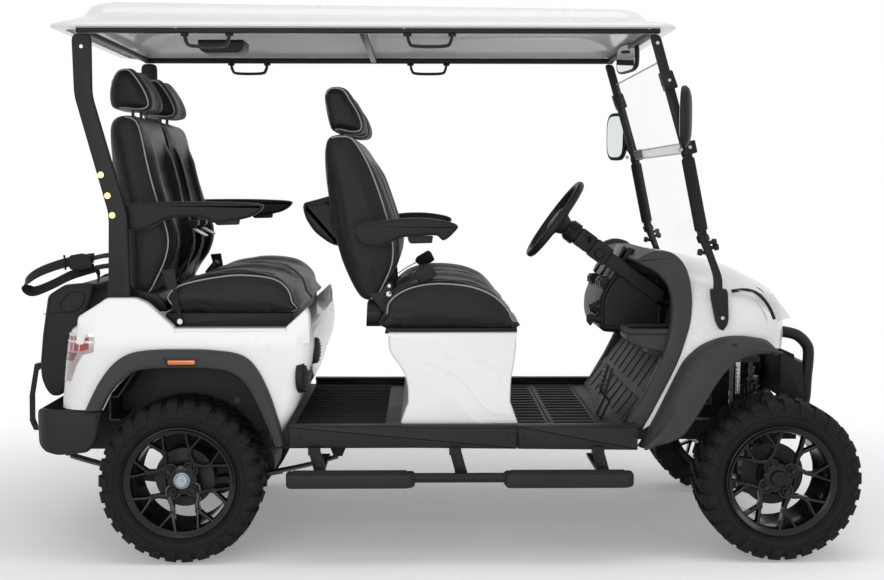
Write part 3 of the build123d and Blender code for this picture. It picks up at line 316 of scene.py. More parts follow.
def tyre_mesh():
    """Carcass with staggered shoulder lugs, blocks beside the middle and a middle row."""
    bm = bmesh.new()
    section = CARCASS + [(-u, r) for u, r in reversed(CARCASS)]
    add_rings(bm, ring_points(section, 150), closed_ring=False)
    pitch = 2 * math.pi / PITCHES
    for k in range(PITCHES):
        for way in SIDES:
            start = k * pitch + (0.5 * pitch if way < 0 else 0)
            long_lug = k % 2
            reach = 0.2385 if long_lug else 0.2475
            # shoulder lug, over the edge and down the sidewall
            lug(bm, [
                (way * 0.066, 0.2764, start + 0.10 * pitch, start + 0.66 * pitch, 0.0106),
                (way * 0.092, 0.2755, start + 0.04 * pitch, start + 0.74 * pitch, 0.0105),
                (way * 0.1085, 0.2700, start + 0.02 * pitch, start + 0.76 * pitch, 0.0095),
                (way * 0.1175, 0.2600, start + 0.04 * pitch, start + 0.74 * pitch, 0.0060),
            ])
            side_block(bm, way, start + 0.05 * pitch, start + 0.73 * pitch, reach)
            # five-sided block beside the middle
            lug(bm, [
                (way * 0.030, TREAD_BASE, start + 0.42 * pitch, start + 0.60 * pitch, 0.0105),
                (way * 0.042, TREAD_BASE, start + 0.22 * pitch, start + 0.84 * pitch, 0.0105),
                (way * 0.060, 0.2766, start + 0.30 * pitch, start + 0.86 * pitch, 0.0104),
            ])
        lug(bm, [
            (-0.026, TREAD_BASE, k * pitch, k * pitch + 0.40 * pitch, 0.0104),
            (0.0, 0.2770, k * pitch + 0.10 * pitch, k * pitch + 0.64 * pitch, 0.0102),
            (0.026, TREAD_BASE, k * pitch + 0.30 * pitch, k * pitch + 0.72 * pitch, 0.0104),
        ])
    # raised rings on the sidewalls
    for way in SIDES:
        for u, radius, size in ((0.1218, 0.2290, 0.0011), (0.1110, 0.2095, 0.0012)):
            ring = [(way * u + size * math.cos(a), radius + size * math.sin(a))
                    for a in (0, math.pi / 2, math.pi, 1.5 * math.pi)]
            add_rings(bm, ring_points(ring, 120))
    return bm


def side_block(bm, way, start, end, reach):
    """The part of a shoulder lug that lies on the sidewall."""
    rows = [(0.1190, 0.2660, 0.0), (0.1205, 0.2560, 0.1), (0.1195, reach, 0.22)]
    inner, outer = [], []
    for u, radius, taper in rows:
        middle, half = (start + end) / 2, (end - start) / 2 * (1 - taper)
        for ring, lift in ((inner, -0.004), (outer, 0.0042)):
            ring.append([
                (radius * math.cos(middle + s * half), way * (u + lift), radius * math.sin(middle + s * half))
                for s in (-1, 1)
            ])
    add_loft(bm, [[a[0], a[1], b[1], b[0]] for a, b in zip(inner, outer)])


def bar(bm, path, widths, front, depth, chamfer=0.003):
    """A wheel spoke: path of (x, z) points with a width and a front height u at each."""
    sections = []
    for i, (x, z) in enumerate(path):
        before, after = path[max(i - 1, 0)], path[min(i + 1, len(path) - 1)]
        along = Vector((after[0] - before[0], after[1] - before[1])).normalized()
        across = Vector((-along.y, along.x)) * widths[i] / 2
        u = front[i]
        inset = across * (1 - chamfer * 2 / widths[i])
        sections.append([
            (x - across.x, u - depth[i], z - across.y), (x + across.x, u - depth[i], z + across.y),
            (x + across.x, u - chamfer, z + across.y), (x + inset.x, u, z + inset.y),
            (x - inset.x, u, z - inset.y), (x - across.x, u - chamfer, z - across.y),
        ])
    add_loft(bm, sections)


def polar(radius, degrees):
    return radius * math.cos(math.radians(degrees)), radius * math.sin(math.radians(degrees))


def add_stud(bm, spot, low, high, radius, top, sides):
    """A cone frustum along u between two values of it."""
    bmesh.ops.create_cone(
        bm, cap_ends=True, segments=sides, radius1=radius, radius2=top, depth=high - low,
        matrix=Matrix.Translation((spot[0], (low + high) / 2, spot[1])) @ Matrix.Rotation(-math.pi / 2, 4, "X"),
    )


def rim_mesh():
    """Barrel with a stepped outer lip, and four spokes that fork twice."""
    bm = bmesh.new()
    barrel = [
        (-0.1060, 0.174), (-0.1060, 0.1955), (-0.1015, 0.1955), (-0.0985, 0.1775), (0.0985, 0.1775),
        (0.1015, 0.1955), (0.1085, 0.1955), (0.1095, 0.1925), (0.1050, 0.1870), (0.1000, 0.1815),
        (0.0960, 0.1745), (0.0890, 0.1720), (0.0700, 0.1690), (0.0300, 0.1680), (-0.0600, 0.1655),
        (-0.0960, 0.1660),
    ]
    add_rings(bm, ring_points(barrel, 128))
    hub = [(0.0210, 0.018), (0.0210, 0.060), (0.0480, 0.060), (0.0570, 0.052), (0.0600, 0.036),
           (0.0600, 0.018)]
    add_rings(bm, ring_points(hub, 64))
    for turn in NUT_TURNS:
        for way in SIDES:
            middle_turn = turn + way * 22.5
            node = polar(0.118, middle_turn)
            vertex = polar(0.079, turn + way * 5)
            bar(bm, [polar(0.046, turn + way * 30), polar(0.064, turn + way * 22), vertex],
                [0.014, 0.013, 0.013], [0.062, 0.066, 0.070], [0.026, 0.026, 0.026])
            bar(bm, [polar(0.070, turn), vertex, polar(0.096, turn + way * 18), node],
                [0.016, 0.016, 0.0145, 0.015], [0.068, 0.070, 0.078, 0.086], [0.028, 0.028, 0.030, 0.034])
            for fork in SIDES:
                tip = polar(0.178, middle_turn + fork * 9.5)
                middle = polar(0.140, middle_turn + fork * 4.6)
                bar(bm, [node, middle, tip],
                    [0.013, 0.0105, 0.0105], [0.086, 0.092, 0.0985], [0.034, 0.034, 0.034])
            add_stud(bm, node, 0.055, 0.085, 0.0095, 0.0095, 20)
        # raised seat round each wheel nut
        add_stud(bm, polar(NUT_CIRCLE, turn), 0.037, 0.067, 0.0155, 0.0165, 28)
    return bm


def nuts_mesh():
    bm = bmesh.new()
    for turn in NUT_TURNS:
        for radius, low, high, sides in ((0.0098, 0.066, 0.078, 6), (0.0080, 0.078, 0.083, 16)):
            add_stud(bm, polar(NUT_CIRCLE, turn), low, high, radius, radius * 0.93, sides)
    return bm


REAR_CAP = [(0.050, 0.001), (0.050, 0.031), (0.062, 0.031), (0.066, 0.028), (0.066, 0.0245), (0.076, 0.0235),
            (0.079, 0.0205), (0.079, 0.0165), (0.0765, 0.0155), (0.0765, 0.0075), (0.080, 0.0065),
            (0.080, 0.001)]
FRONT_CAP = [(0.050, 0.001), (0.050, 0.031), (0.070, 0.030), (0.077, 0.027), (0.080, 0.021), (0.080, 0.017),
             (0.0785, 0.0155), (0.0785, 0.001)]


def cap_mesh(profile):
    bm = bmesh.new()
    add_rings(bm, ring_points(profile, 64))
    return bm


def place_wheel(bm, axle_x, side, turn):
    """Moves wheel geometry from its own frame to the cart."""
    for vert in bm.verts:
        x, u, z = vert.co
        c, s = math.cos(turn), math.sin(turn)
        vert.co = (axle_x + x * c - z * s, side * (HALF_TRACK + u), HUB + x * s + z * c)


WHEELS = [  # name, axle, side, turn of the wheel in radians, hub cap and its finish
    ("front_left", FRONT, 1, 0.9, FRONT_CAP, BLACK), ("front_right", FRONT, -1, 0.16, FRONT_CAP, BLACK),
    ("rear_left", REAR, 1, 1.3, REAR_CAP, HUB_SILVER), ("rear_right", REAR, -1, 0.52, REAR_CAP, HUB_SILVER),
]


def make_wheels():
    for name, axle_x, side, turn, cap, cap_finish in WHEELS:
        for part_name, bm, material, nodes, bevel, slot in (
            ("tyre_tread", tyre_mesh(), TYRE, (f"tyre_{name}",), 0.0, "tyre"),
            ("alloy", rim_mesh(), ALLOY, (f"rim_{name}",), 0.7, "gloss_black"),
            ("wheel_nuts", nuts_mesh(), STEEL_DARK, (), 0.5, "steel"),
            ("hub_cap", cap_mesh(cap), cap_finish, (), 0.0, "steel"),
        ):
            place_wheel(bm, axle_x, side, turn)
            add_piece(f"{part_name}_{name}", bm, material, body=f"wheel_{name}", smooth=35, bevel=bevel,
                      replaces=nodes, slot=slot)


make_wheels()


# ---- shape helpers -------------------------------------------------------------------------------


def smooth_path(points, steps=6, closed=False):
    """Catmull-Rom points through the given ones, in any number of dimensions."""
    pts = [tuple(p) for p in points]
    count = len(pts)
    spans = count if closed else count - 1
    result = []
    for i in range(spans):
        if closed:
            p0, p1, p2, p3 = (pts[(i + k) % count] for k in (-1, 0, 1, 2))
        else:
            p0, p1, p2, p3 = pts[max(i - 1, 0)], pts[i], pts[i + 1], pts[min(i + 2, count - 1)]
        for k in range(steps):
            t = k / steps
            result.append(tuple(
                0.5 * (2 * b + (c - a) * t + (2 * a - 5 * b + 4 * c - d) * t * t
                       + (3 * b - a - 3 * c + d) * t ** 3)
                for a, b, c, d in zip(p0, p1, p2, p3)
            ))
    if not closed:
        result.append(pts[-1])
    return result


def even_path(points, count):
    """The same open path as count points a like distance apart."""
    lengths = [0.0]
    for a, b in zip(points, points[1:]):
        lengths.append(lengths[-1] + math.dist(a, b))
    result = []
    for k in range(count):
        goal = lengths[-1] * k / (count - 1)
        i = 0
        while i < len(lengths) - 2 and lengths[i + 1] < goal:
            i += 1
        span = lengths[i + 1] - lengths[i] or 1.0
        t = (goal - lengths[i]) / span
        result.append(tuple(a + (b - a) * t for a, b in zip(points[i], points[i + 1])))
    return result


def round_corners(points, radius, steps=5):
    """A closed outline with each corner replaced by a short curve."""
    result = []
    count = len(points)
    for i in range(count):
        before, here, after = (Vector(points[(i + k) % count]) for k in (-1, 0, 1))
        cut = min(radius, (here - before).length * 0.45, (after - here).length * 0.45)
        start = here + (before - here).normalized() * cut
        end = here + (after - here).normalized() * cut
        for k in range(steps + 1):
            t = k / steps
            result.append(tuple(start * (1 - t) ** 2 + here * 2 * t * (1 - t) + end * t * t))
    return result


def inset_outline(points, amount):
    """Moves each point of a closed outline inwards along its corner's bisector."""
    area = sum(a[0] * b[1] - b[0] * a[1] for a, b in zip(points, points[1:] + points[:1]))
    way = 1 if area > 0 else -1
    result = []
    count = len(points)
    for i in range(count):
        before, here, after = (Vector(points[(i + k) % count]) for k in (-1, 0, 1))
        along = (after - before)
        along = along.normalized() if along.length else Vector((1, 0))
        result.append(tuple(here + Vector((-along.y, along.x)) * way * amount))
    return result


def slab(outline, y_one, y_other, corner=0, corner_steps=5, edge=0.0, steps=3, place=at_rear):
    """A solid between two values of y, given in either order; outline is (x, z) in mm.

    corner rounds the outline, edge the rims on both sides.
    """
    if corner:
        outline = round_corners(outline, corner, corner_steps)
    y_low, y_high = sorted((y_one, y_other))
    turns = [math.pi / 2 * k / steps for k in range(steps + 1)]
    lower = [(y_low + edge * (1 - math.cos(a)), edge * (1 - math.sin(a))) for a in turns]
    upper = [(y_high - (y - y_low), cut) for y, cut in reversed(lower)]
    rings = []
    for y, cut in lower + upper:
        ring = inset_outline(outline, cut) if cut > 1e-6 else outline
        rings.append([tuple(place(x, y, z)) for x, z in ring])
    return loft(rings)


def add_slab(bm, *measures, **edges):
    mesh = bpy.data.meshes.new("part")
    solid = slab(*measures, **edges)
    solid.to_mesh(mesh)
    solid.free()
    bm.from_mesh(mesh)
    bpy.data.meshes.remove(mesh)


def circle(centre, side, other, radius, count):
    """Points round a centre; side and other are unit vectors in its plane and the radius is in mm."""
    turns = [2 * math.pi * k / count for k in range(count)]
    return [tuple(centre + (side * math.cos(a) + other * math.sin(a)) * radius * MM) for a in turns]


def add_tube(bm, path, radius, sides=12, caps=True, closed=False):
    """A round tube along a path, with a steady frame; the radius is one number or a list, in mm."""
    path = [Vector(p) for p in path]
    count = len(path)
    tangents = []
    for i in range(count):
        if closed:
            tangents.append((path[(i + 1) % count] - path[i - 1]).normalized())
        else:
            tangents.append((path[min(i + 1, count - 1)] - path[max(i - 1, 0)]).normalized())
    side = tangents[0].orthogonal().normalized()
    rings = []
    for i in range(count):
        side = (side - tangents[i] * side.dot(tangents[i])).normalized()
        other = tangents[i].cross(side)
        rings.append(circle(path[i], side, other, radius[i] if isinstance(radius, list) else radius, sides))
    add_rings(bm, rings, closed_loop=closed, caps=caps and not closed)


def across_tube(bm, x, z, half, radius, sides, middle=0):
    """A tube straight across the cart."""
    add_tube(bm, [at_rear(x, middle - half, z), at_rear(x, middle + half, z)], radius, sides)


def add_box(bm, low, high):
    made = bmesh.ops.create_cube(bm, size=1.0)["verts"]
    for vert in made:
        vert.co = Vector([a + (b - a) * (c + 0.5) for a, b, c in zip(low, high, vert.co)])
    return made


def add_disc(bm, centre, normal, radius, depth, sides=24, top=None):
    """A short cylinder or cone frustum from centre along normal; radius, depth and top are in mm."""
    normal = Vector(normal).normalized()
    side = normal.orthogonal().normalized()
    other = normal.cross(side)
    head = radius if top is None else top
    add_loft(bm, [circle(centre, side, other, radius, sides),
                  circle(centre + normal * depth * MM, side, other, head, sides)])


def side_disc(bm, side, x, y, z, *sizes):
    """An add_disc that stands out of one side of the cart."""
    add_disc(bm, at_rear(x, side * y, z), (0, side, 0), *sizes)


def mirrored(bm):
    """Adds the same geometry on the other side of the cart."""
    both = bmesh.ops.duplicate(bm, geom=bm.verts[:] + bm.edges[:] + bm.faces[:])["geom"]
    for item in both:
        if isinstance(item, bmesh.types.BMVert):
            item.co.y = -item.co.y
    bmesh.ops.reverse_faces(bm, faces=[item for item in both if isinstance(item, bmesh.types.BMFace)])


def carve(piece, cutters, operation="DIFFERENCE"):
    """Applies booleans with temporary meshes, before the piece rides."""
    for bm in cutters:
        tool = raw_object("cutter", bm)
        cut = piece.modifiers.new("cut", "BOOLEAN")
        cut.object = tool
        cut.operation = operation
        cut.solver = "MANIFOLD"
        bake_modifiers(piece)
        bpy.data.objects.remove(tool)


def bake_modifiers(piece):
    """Replaces the piece's mesh with its evaluated one."""
    bpy.context.view_layer.update()
    graph = bpy.context.evaluated_depsgraph_get()
    done = bpy.data.meshes.new_from_object(piece.evaluated_get(graph), depsgraph=graph)
    piece.modifiers.clear()
    piece.data = done


# ---- rear body -----------------------------------------------------------------------------------
REAR_ARCH = [(-268, 545), (-238, 601), (-195, 648), (-152, 678), (-91, 688), (40, 690), (150, 683),
             (205, 660), (240, 622), (268, 570), (296, 506), (320, 450), (331, 415)]
REAR_FLARE = [(-328, 541), (-281, 635), (-229, 704), (-169, 741), (-91, 753), (20, 755), (115, 752),
              (214, 736), (268, 690), (313, 601), (348, 489), (361, 416)]
BODY_HALF_LEVELS = [
    # z, rear x at the centre, front x, half width, rear corner radius
    (400, -447, 338, 588, 85),
    (470, -440, 360, 595, 92),
    (545, -431, 405, 599, 100),
    (640, -423, 436, 600, 104),
    (700, -417, 458, 600, 106),
    (755, -410, 466, 600, 106),
    (800, -401, 465, 600, 104),
    (816, -394, 462, 597, 101),
    (826, -384, 456, 590, 95),
]


def plan_ring(z, rear_x, front_x, half, corner, front_corner=60):
    """A rounded rectangle in plan, from the rear corner round to the front one."""
    ring = []
    for x_mid, y_mid, radius, start in (
        (front_x - front_corner, half - front_corner, front_corner, 0),
        (rear_x + corner, half - corner, corner, 90),
        (rear_x + corner, -half + corner, corner, 180),
        (front_x - front_corner, -half + front_corner, front_corner, 270),
    ):
        for k in range(7):
            a = math.radians(start + 15 * k)
            ring.append(tuple(at_rear(x_mid + radius * math.cos(a), y_mid + radius * math.sin(a), z)))
    return ring


def wide_prism(outline, place=at_rear):
    """A cutter wider than the body, with its outline seen from the side."""
    return loft([[tuple(place(x, y, z)) for x, z in outline] for y in (-700, 700)])


def body_plan(levels):
    return loft([plan_ring(*level) for level in levels])


SHOULDERS = [  # behind the rear seat, under the strut; and the lip beside the front of the cushion
    [(-360, 770), (-350, 868), (-280, 912), (-248, 934), (-150, 934), (-112, 918), (-18, 832), (0, 770)],
    [(372, 770), (368, 828), (425, 880), (446, 900), (454, 870), (456, 815), (456, 770)],
]


def make_rear_body():
    """A shell open at the bottom, cut out for the wheels, with raised shoulders."""
    body = raw_object("rear_quarters", body_plan(BODY_HALF_LEVELS))
    wall = 14
    core = body_plan([
        (z - wall if z > 420 else 300, rear_x + wall, front_x - wall, half - wall, corner, 46)
        for z, rear_x, front_x, half, corner in BODY_HALF_LEVELS])
    arch = wide_prism([(-560, 300), (-560, 541), (-268, 541)] + smooth_path(REAR_ARCH[1:], 3) + [(338, 300)])
    carve(body, [core, arch])
    blocks = [slab(points, side * 548, side * 599.6, 10, 4, edge=7)
              for points in SHOULDERS for side in SIDES]
    carve(body, blocks, "UNION")
    dress(body, WHITE, smooth=32, bevel=2.2, replaces=("rear_body",), slot="white_body")


def band_rings(inner, outer, section, place, side, count):
    """Rings of a moulding between two paths; section is (share across, mm past it, y)."""
    inner = even_path(smooth_path(inner, 6), count)
    outer = even_path(smooth_path(outer, 6), count)
    rings = []
    for (ax, az), (bx, bz) in zip(inner, outer):
        across = Vector((bx - ax, bz - az))
        unit = across.normalized()
        ring = []
        for share, extra, y in section:
            spot = Vector((ax, az)) + across * share + unit * extra
            ring.append(tuple(place(spot.x, side * y, spot.y)))
        rings.append(ring)
    return rings


REAR_FLARE_SECTION = [
    (0, 2, 580), (0, 0, 612), (0, 1.5, 624), (0, 5, 630), (0, 10, 631.5), (0, 12.5, 629), (0, 18, 629),
    (1, -16, 631), (1, -9, 629.5), (1, -4, 625), (1, -1, 617), (1, 0, 606), (1, 0, 590), (1, -10, 585),
    (0, 12, 585),
]


def make_rear_flares():
    bm = bmesh.new()
    for side in SIDES:
        add_loft(bm, band_rings(REAR_ARCH, REAR_FLARE, REAR_FLARE_SECTION, at_rear, side, 64))
    piece = raw_object("rear_arch_mouldings", bm)
    recess = [(-50, 727), (-38, 699), (62, 699), (74, 727)]
    carve(piece, [slab(recess, side * 623, side * 650, 6, 3) for side in SIDES])
    dress(piece, CHARCOAL, smooth=30, bevel=1.2, slot="dark_plastic")
    lamps = bmesh.new()
    marker = [(-36, 719), (-36, 704), (59, 704), (59, 719)]
    for side in SIDES:
        add_slab(lamps, marker, side * 618, side * 627, 4, 3, edge=1.5)
    add_piece("side_markers", lamps, AMBER, smooth=35, slot="tail_lens")


FRONT_FLARE_OUTER = [(-498, 400), (-485, 420), (-440, 500), (-398, 585), (-357, 668), (-330, 712),
                     (-280, 757), (-215, 785), (-150, 793), (-90, 788), (-40, 776), (-4, 742)]
FRONT_FLARE_INNER = [(-470, 398), (-433, 412), (-385, 425), (-345, 448), (-318, 482), (-282, 540),
                     (-246, 605), (-205, 665), (-165, 705), (-120, 727), (-70, 735), (-10, 738)]
FRONT_FLARE_SECTION = [
    (0, 3, 560), (0, 0, 596), (0, 1, 612), (0, 4, 621), (0, 9, 625), (0, 13, 624), (0.30, 0, 627),
    (0.62, 0, 622), (1, -26, 606), (1, -14, 594), (1, -6, 580), (1, -2, 566), (1, 0, 546), (1, -8, 545.4),
    (0, 14, 545.4),
]


def make_front_flares():
    bm = bmesh.new()
    for side in SIDES:
        rings = band_rings(FRONT_FLARE_INNER, FRONT_FLARE_OUTER, FRONT_FLARE_SECTION, at_front, side, 60)
        add_loft(bm, rings)
    piece = raw_object("front_arch_mouldings", bm)
    cutters = []
    for side in SIDES:
        for x, z in ((-172, 774), (-334, 690), (-428, 548)):
            hole = bmesh.new()
            add_disc(hole, at_front(x, side * 600, z), (0, side, 0), 13, 50, 20)
            cutters.append(hole)
    carve(piece, cutters)
    dress(piece, CHARCOAL, smooth=30, bevel=1.2, replaces=("flares",), slot="dark_plastic")


# ---- front cowl ----------------------------------------------------------------------------------
HOOD_LINE = [(-352, 1072), (-270, 1061), (-193, 1046), (-124, 1027), (-45, 988), (20, 957), (69, 922),
             (105, 880), (131, 838), (150, 790), (164, 762), (170, 741)]
HOOD_PLAN = [(-352, 545), (-200, 545), (-120, 541), (-60, 530), (-8, 508), (24, 468), (48, 415), (70, 345),
             (94, 260), (120, 170), (146, 80), (166, 12)]


def on_line(line, x):
    for (x0, v0), (x1, v1) in zip(line, line[1:]):
        if x <= x1:
            return v0 + (v1 - v0) * (x - x0) / (x1 - x0)
    return line[-1][1]


def cowl_rings(shrink):
    """Cross sections of the hood: wide and square at the dash, narrow and round at the nose."""
    top = smooth_path(HOOD_LINE, 5)
    plan = smooth_path(HOOD_PLAN, 5)
    low = 690 if shrink else 738
    stations = [-352 + 16 * k for k in range(24)] + [32, 46, 60, 74, 88, 100, 112, 123, 133, 143, 152, 160,
                                                     165]
    rings = []
    for x in sorted(set(stations)):
        half = on_line(plan, x) - shrink
        high = on_line(top, x) - shrink
        power = 4.6 if x < -60 else max(2.3, 4.6 - (x + 60) * 0.0105)
        ring = []
        for k in range(49):
            a = (-1 + 2 * k / 48) * math.pi / 2
            y = half * math.copysign(abs(math.sin(a)) ** (2 / power), a)
            z = low + (high - low) * max(0.0, math.cos(a)) ** (2 / power)
            ring.append(tuple(at_front(x, y, z)))
        rings.append(ring)
    return rings


def make_cowl():
    piece = raw_object("front_hood", loft(cowl_rings(0)))
    core = loft(cowl_rings(10))
    # the hollow runs out through the rear end
    for vert in core.verts:
        if vert.co.x < FRONT - 0.34:
            vert.co.x -= 0.08
    # the opening for the dash follows its rim
    edge = [(x - 1, z) for x, z in reversed(DASH_EDGE)]
    opening = wide_prism([(-700, 380), (-497, 380), *edge, (-352, 1140), (-700, 1140)], at_front)
    carve(piece, [core, opening])
    dress(piece, WHITE, smooth=35, bevel=1.5, replaces=("front_cowl",), slot="white_body")
    # side panels between the dash moulding and the flare, down to the sill
    panels = bmesh.new()
    outline = [(-478, 458), (-416, 577), (-356, 701), (-337, 752), (-300, 752), (-330, 700), (-380, 600),
               (-440, 480)]
    for side in SIDES:
        add_slab(panels, outline, side * 532, side * 544.6, edge=1, place=at_front)
    add_piece("cowl_side_panels", panels, WHITE, smooth=35, slot="white_body")


DASH_EDGE = [(-371, 1082), (-346, 1064), (-324, 1020), (-312, 962), (-309, 910), (-313, 850), (-330, 785),
             (-357, 701), (-417, 577), (-479, 455)]
DASH_CHEEK = [(1605, 1062), (1640, 1084), (1677, 1095), (1712, 1092), (1742, 1078), (1768, 1050),
              (1787, 1008), (1798, 950), (1800, 900), (1796, 845), (1783, 791), (1753, 701), (1693, 577),
              (1631, 470), (1572, 470), (1642, 600), (1690, 700), (1718, 790), (1728, 860), (1726, 925),
              (1712, 972), (1690, 1002), (1655, 1028), (1620, 1044)]
DASH_WALL = [(1740, 1076), (1766, 1046), (1790, 1000), (1796, 918), (1778, 791), (1752, 707), (1733, 707),
             (1763, 795), (1779, 918), (1770, 1000), (1750, 1040), (1700, 1050), (1612, 1048), (1612, 1062),
             (1680, 1078)]


def make_dash():
    """The charcoal moulding round the dash: rounded cheeks and the wall and shelf between them."""
    bm = bmesh.new()
    for side in SIDES:
        add_slab(bm, smooth_path(DASH_CHEEK, 4, closed=True), side * 512, side * 560, edge=10, steps=4)
    add_slab(bm, DASH_WALL, -514, 514, 6, 3)
    add_piece("dash_moulding", bm, CHARCOAL, smooth=40, replaces=("dash",), slot="dark_plastic")


# ---- canopy --------------------------------------------------------------------------------------
def canopy_ring(x0, x1, half, corner, z_of):
    ring = []
    for x_mid, y_mid, start in (
        (x1 - corner, half - corner, 0), (x0 + corner, half - corner, 90),
        (x0 + corner, -half + corner, 180), (x1 - corner, -half + corner, 270),
    ):
        for k in range(9):
            a = math.radians(start + 11.25 * k)
            x, y = x_mid + corner * math.cos(a), y_mid + corner * math.sin(a)
            ring.append((x, y, z_of(x, y)))
    return ring


def crowned(height, fall):
    """Height of a canopy level: it falls to the front and to both sides."""
    return lambda x, y: height - fall * (x - 646) - 7 * (y / 600) ** 2


CANOPY_LEVELS = [
    # x rear, x front, half width, corner radius, z at the middle, fall along X
    (-398, 1690, 555, 70, 1868, 0.0), (-432, 1724, 588, 88, 1871, 0.0), (-443, 1735, 598, 92, 1874, 0.0),
    (-444, 1736, 600, 92, 1880, 0.0), (-440, 1731, 597, 92, 1886, 0.0), (-424, 1714, 585, 90, 1892, 0.001),
    (-396, 1690, 560, 88, 1899, 0.002), (-368, 1665, 528, 84, 1908, 0.004),
    (-352, 1650, 508, 84, 1916, 0.006),
    (-338, 1636, 494, 84, 1932, 0.008), (-326, 1624, 482, 84, 1948, 0.010),
    (-306, 1604, 462, 84, 1958, 0.011),
    (-270, 1570, 430, 80, 1962.5, 0.011), (-150, 1450, 320, 80, 1965, 0.011),
]
CANOPY_UNDERSIDE = [
    (-150, 1450, 320, 80, 1952, 0.011), (-290, 1590, 448, 80, 1946, 0.010),
    (-330, 1628, 484, 80, 1912, 0.006), (-352, 1650, 520, 80, 1896, 0.0), (-398, 1690, 553, 68, 1878, 0.0),
]


def make_canopy():
    bm = bmesh.new()
    rings = []
    for x0, x1, half, corner, height, fall in CANOPY_LEVELS + CANOPY_UNDERSIDE:
        ring = canopy_ring(x0, x1, half, corner, crowned(height, fall))
        rings.append([tuple(at_rear(*p)) for p in ring])
    made = add_rings(bm, rings)
    # close the roof and its ceiling, which add_rings joined to each other
    roof, ceiling = made[len(CANOPY_LEVELS) - 1], made[len(CANOPY_LEVELS)]
    bm.faces.new(roof[::-1])
    bm.faces.new(ceiling)
    joined = [face for face in bm.faces if len(face.verts) == 4 and set(face.verts) <= set(roof + ceiling)]
    bmesh.ops.delete(bm, geom=joined, context="FACES_ONLY")
    add_piece("canopy", bm, WHITE, smooth=40, replaces=("roof_shell",), slot="white_body")
    ribs = bmesh.new()
    # low raised pads moulded along the roof's edge
    for x0, x1, lift in ((-262, 70, 8), (110, 236, 5), (960, 1150, 6)):
        for side in SIDES:
            rings = []
            for inset, rise in ((0, -2), (3, lift * 0.6), (9, lift), (16, lift)):
                rear_x, front_x, near, far = x0 + inset, x1 - inset, 300 + inset, 410 - inset
                rings.append([
                    tuple(at_rear(x, side * y, 1956 - 0.011 * (x - 646) + rise))
                    for x, y in ((rear_x, near), (front_x, near), (front_x, far), (rear_x, far))
                ])
            add_loft(ribs, rings)
    add_piece("canopy_pads", ribs, WHITE, smooth=30, bevel=2, slot="white_body")


make_rear_body()
make_rear_flares()
make_front_flares()
make_cowl()
make_dash()
make_canopy()


# ---- seats ---------------------------------------------------------------------------------------
# Side profiles as (x from the rear axle, z), clockwise from the lower rear corner.
BACKS = {
    "front": [(640, 912), (604, 952), (562, 1055), (538, 1147), (513, 1306), (500, 1429), (503, 1478),
              (522, 1499), (566, 1503), (602, 1494), (650, 1422), (690, 1325), (727, 1208), (747, 1110),
              (742, 1036), (716, 972), (688, 925)],
    "rear": [(-186, 930), (-206, 960), (-222, 1090), (-238, 1260), (-256, 1420), (-262, 1520), (-246, 1561),
             (-205, 1572), (-168, 1562), (-146, 1520), (-120, 1385), (-88, 1263), (-55, 1150), (-62, 1070),
             (-96, 990), (-130, 935)],
}
HEADRESTS = {
    "front": [(518, 1526), (500, 1600), (494, 1650), (508, 1674), (536, 1681), (568, 1669), (592, 1630),
              (618, 1588), (633, 1540), (622, 1516), (590, 1512), (552, 1520)],
    "rear": [(-270, 1602), (-282, 1640), (-276, 1690), (-252, 1736), (-222, 1746), (-200, 1738), (-172, 1702),
             (-148, 1660), (-136, 1622), (-144, 1600), (-176, 1592), (-215, 1596)],
}
CUSHIONS = {
    "front": [(722, 819), (718, 870), (724, 912), (768, 950), (829, 972), (901, 981), (992, 975), (1053, 960),
              (1113, 930), (1156, 886), (1170, 848), (1168, 819)],
    "rear": [(-18, 874), (-40, 900), (-60, 930), (-20, 972), (60, 994), (121, 1004), (184, 1012), (272, 1008),
             (340, 992), (378, 958), (390, 915), (384, 874)],
}
BACK_SPAN = (22, 478)
CUSHION_SPAN = (6, 533)
HEADREST_SPAN = (117, 383)


def pad_grid(profile, span, roll, columns, lift):
    """Rings of a padded block from side to side; lift(x, z, normal, v) moves a point outwards in mm."""
    outline = smooth_path(profile, 4, closed=True)
    count = len(outline)
    area = sum(a[0] * b[1] - b[0] * a[1] for a, b in zip(outline, outline[1:] + outline[:1]))
    way = -1 if area > 0 else 1
    normals = []
    for i in range(count):
        along = Vector(outline[(i + 1) % count]) - Vector(outline[i - 1])
        normals.append(Vector((-along.y, along.x)).normalized() * way)
    half = (span[1] - span[0]) / 2
    middle = (span[1] + span[0]) / 2
    rings = []
    # a few extra columns where the edge rolls over
    edge = [half - roll * (1 - math.sin(math.pi / 2 * k / 5)) for k in range(6)]
    inner = [(half - roll) * k / columns for k in range(columns)]
    levels = sorted(set([-v for v in edge + inner] + inner + edge))
    for y in levels:
        over = max(0.0, (abs(y) - (half - roll)) / roll)
        cut = roll * (1 - math.sqrt(max(0.0, 1 - over * over)))
        ring = []
        for (x, z), normal in zip(outline, normals):
            out = -cut * 0.92 + lift(x, z, normal, y / half)
            ring.append((x + normal.x * out, middle + y, z + normal.y * out))
        rings.append(ring)
    return rings


def bell(value, centre, width):
    """1 at the centre, fading to 0 on both sides."""
    return math.exp(-((value - centre) / width) ** 2)


def between(value, low, high, soft):
    """1 between the two values, fading to 0 outside."""
    rise = min(1.0, max(0.0, (value - low) / soft + 0.5))
    fall = min(1.0, max(0.0, (high - value) / soft + 0.5))
    return rise * fall


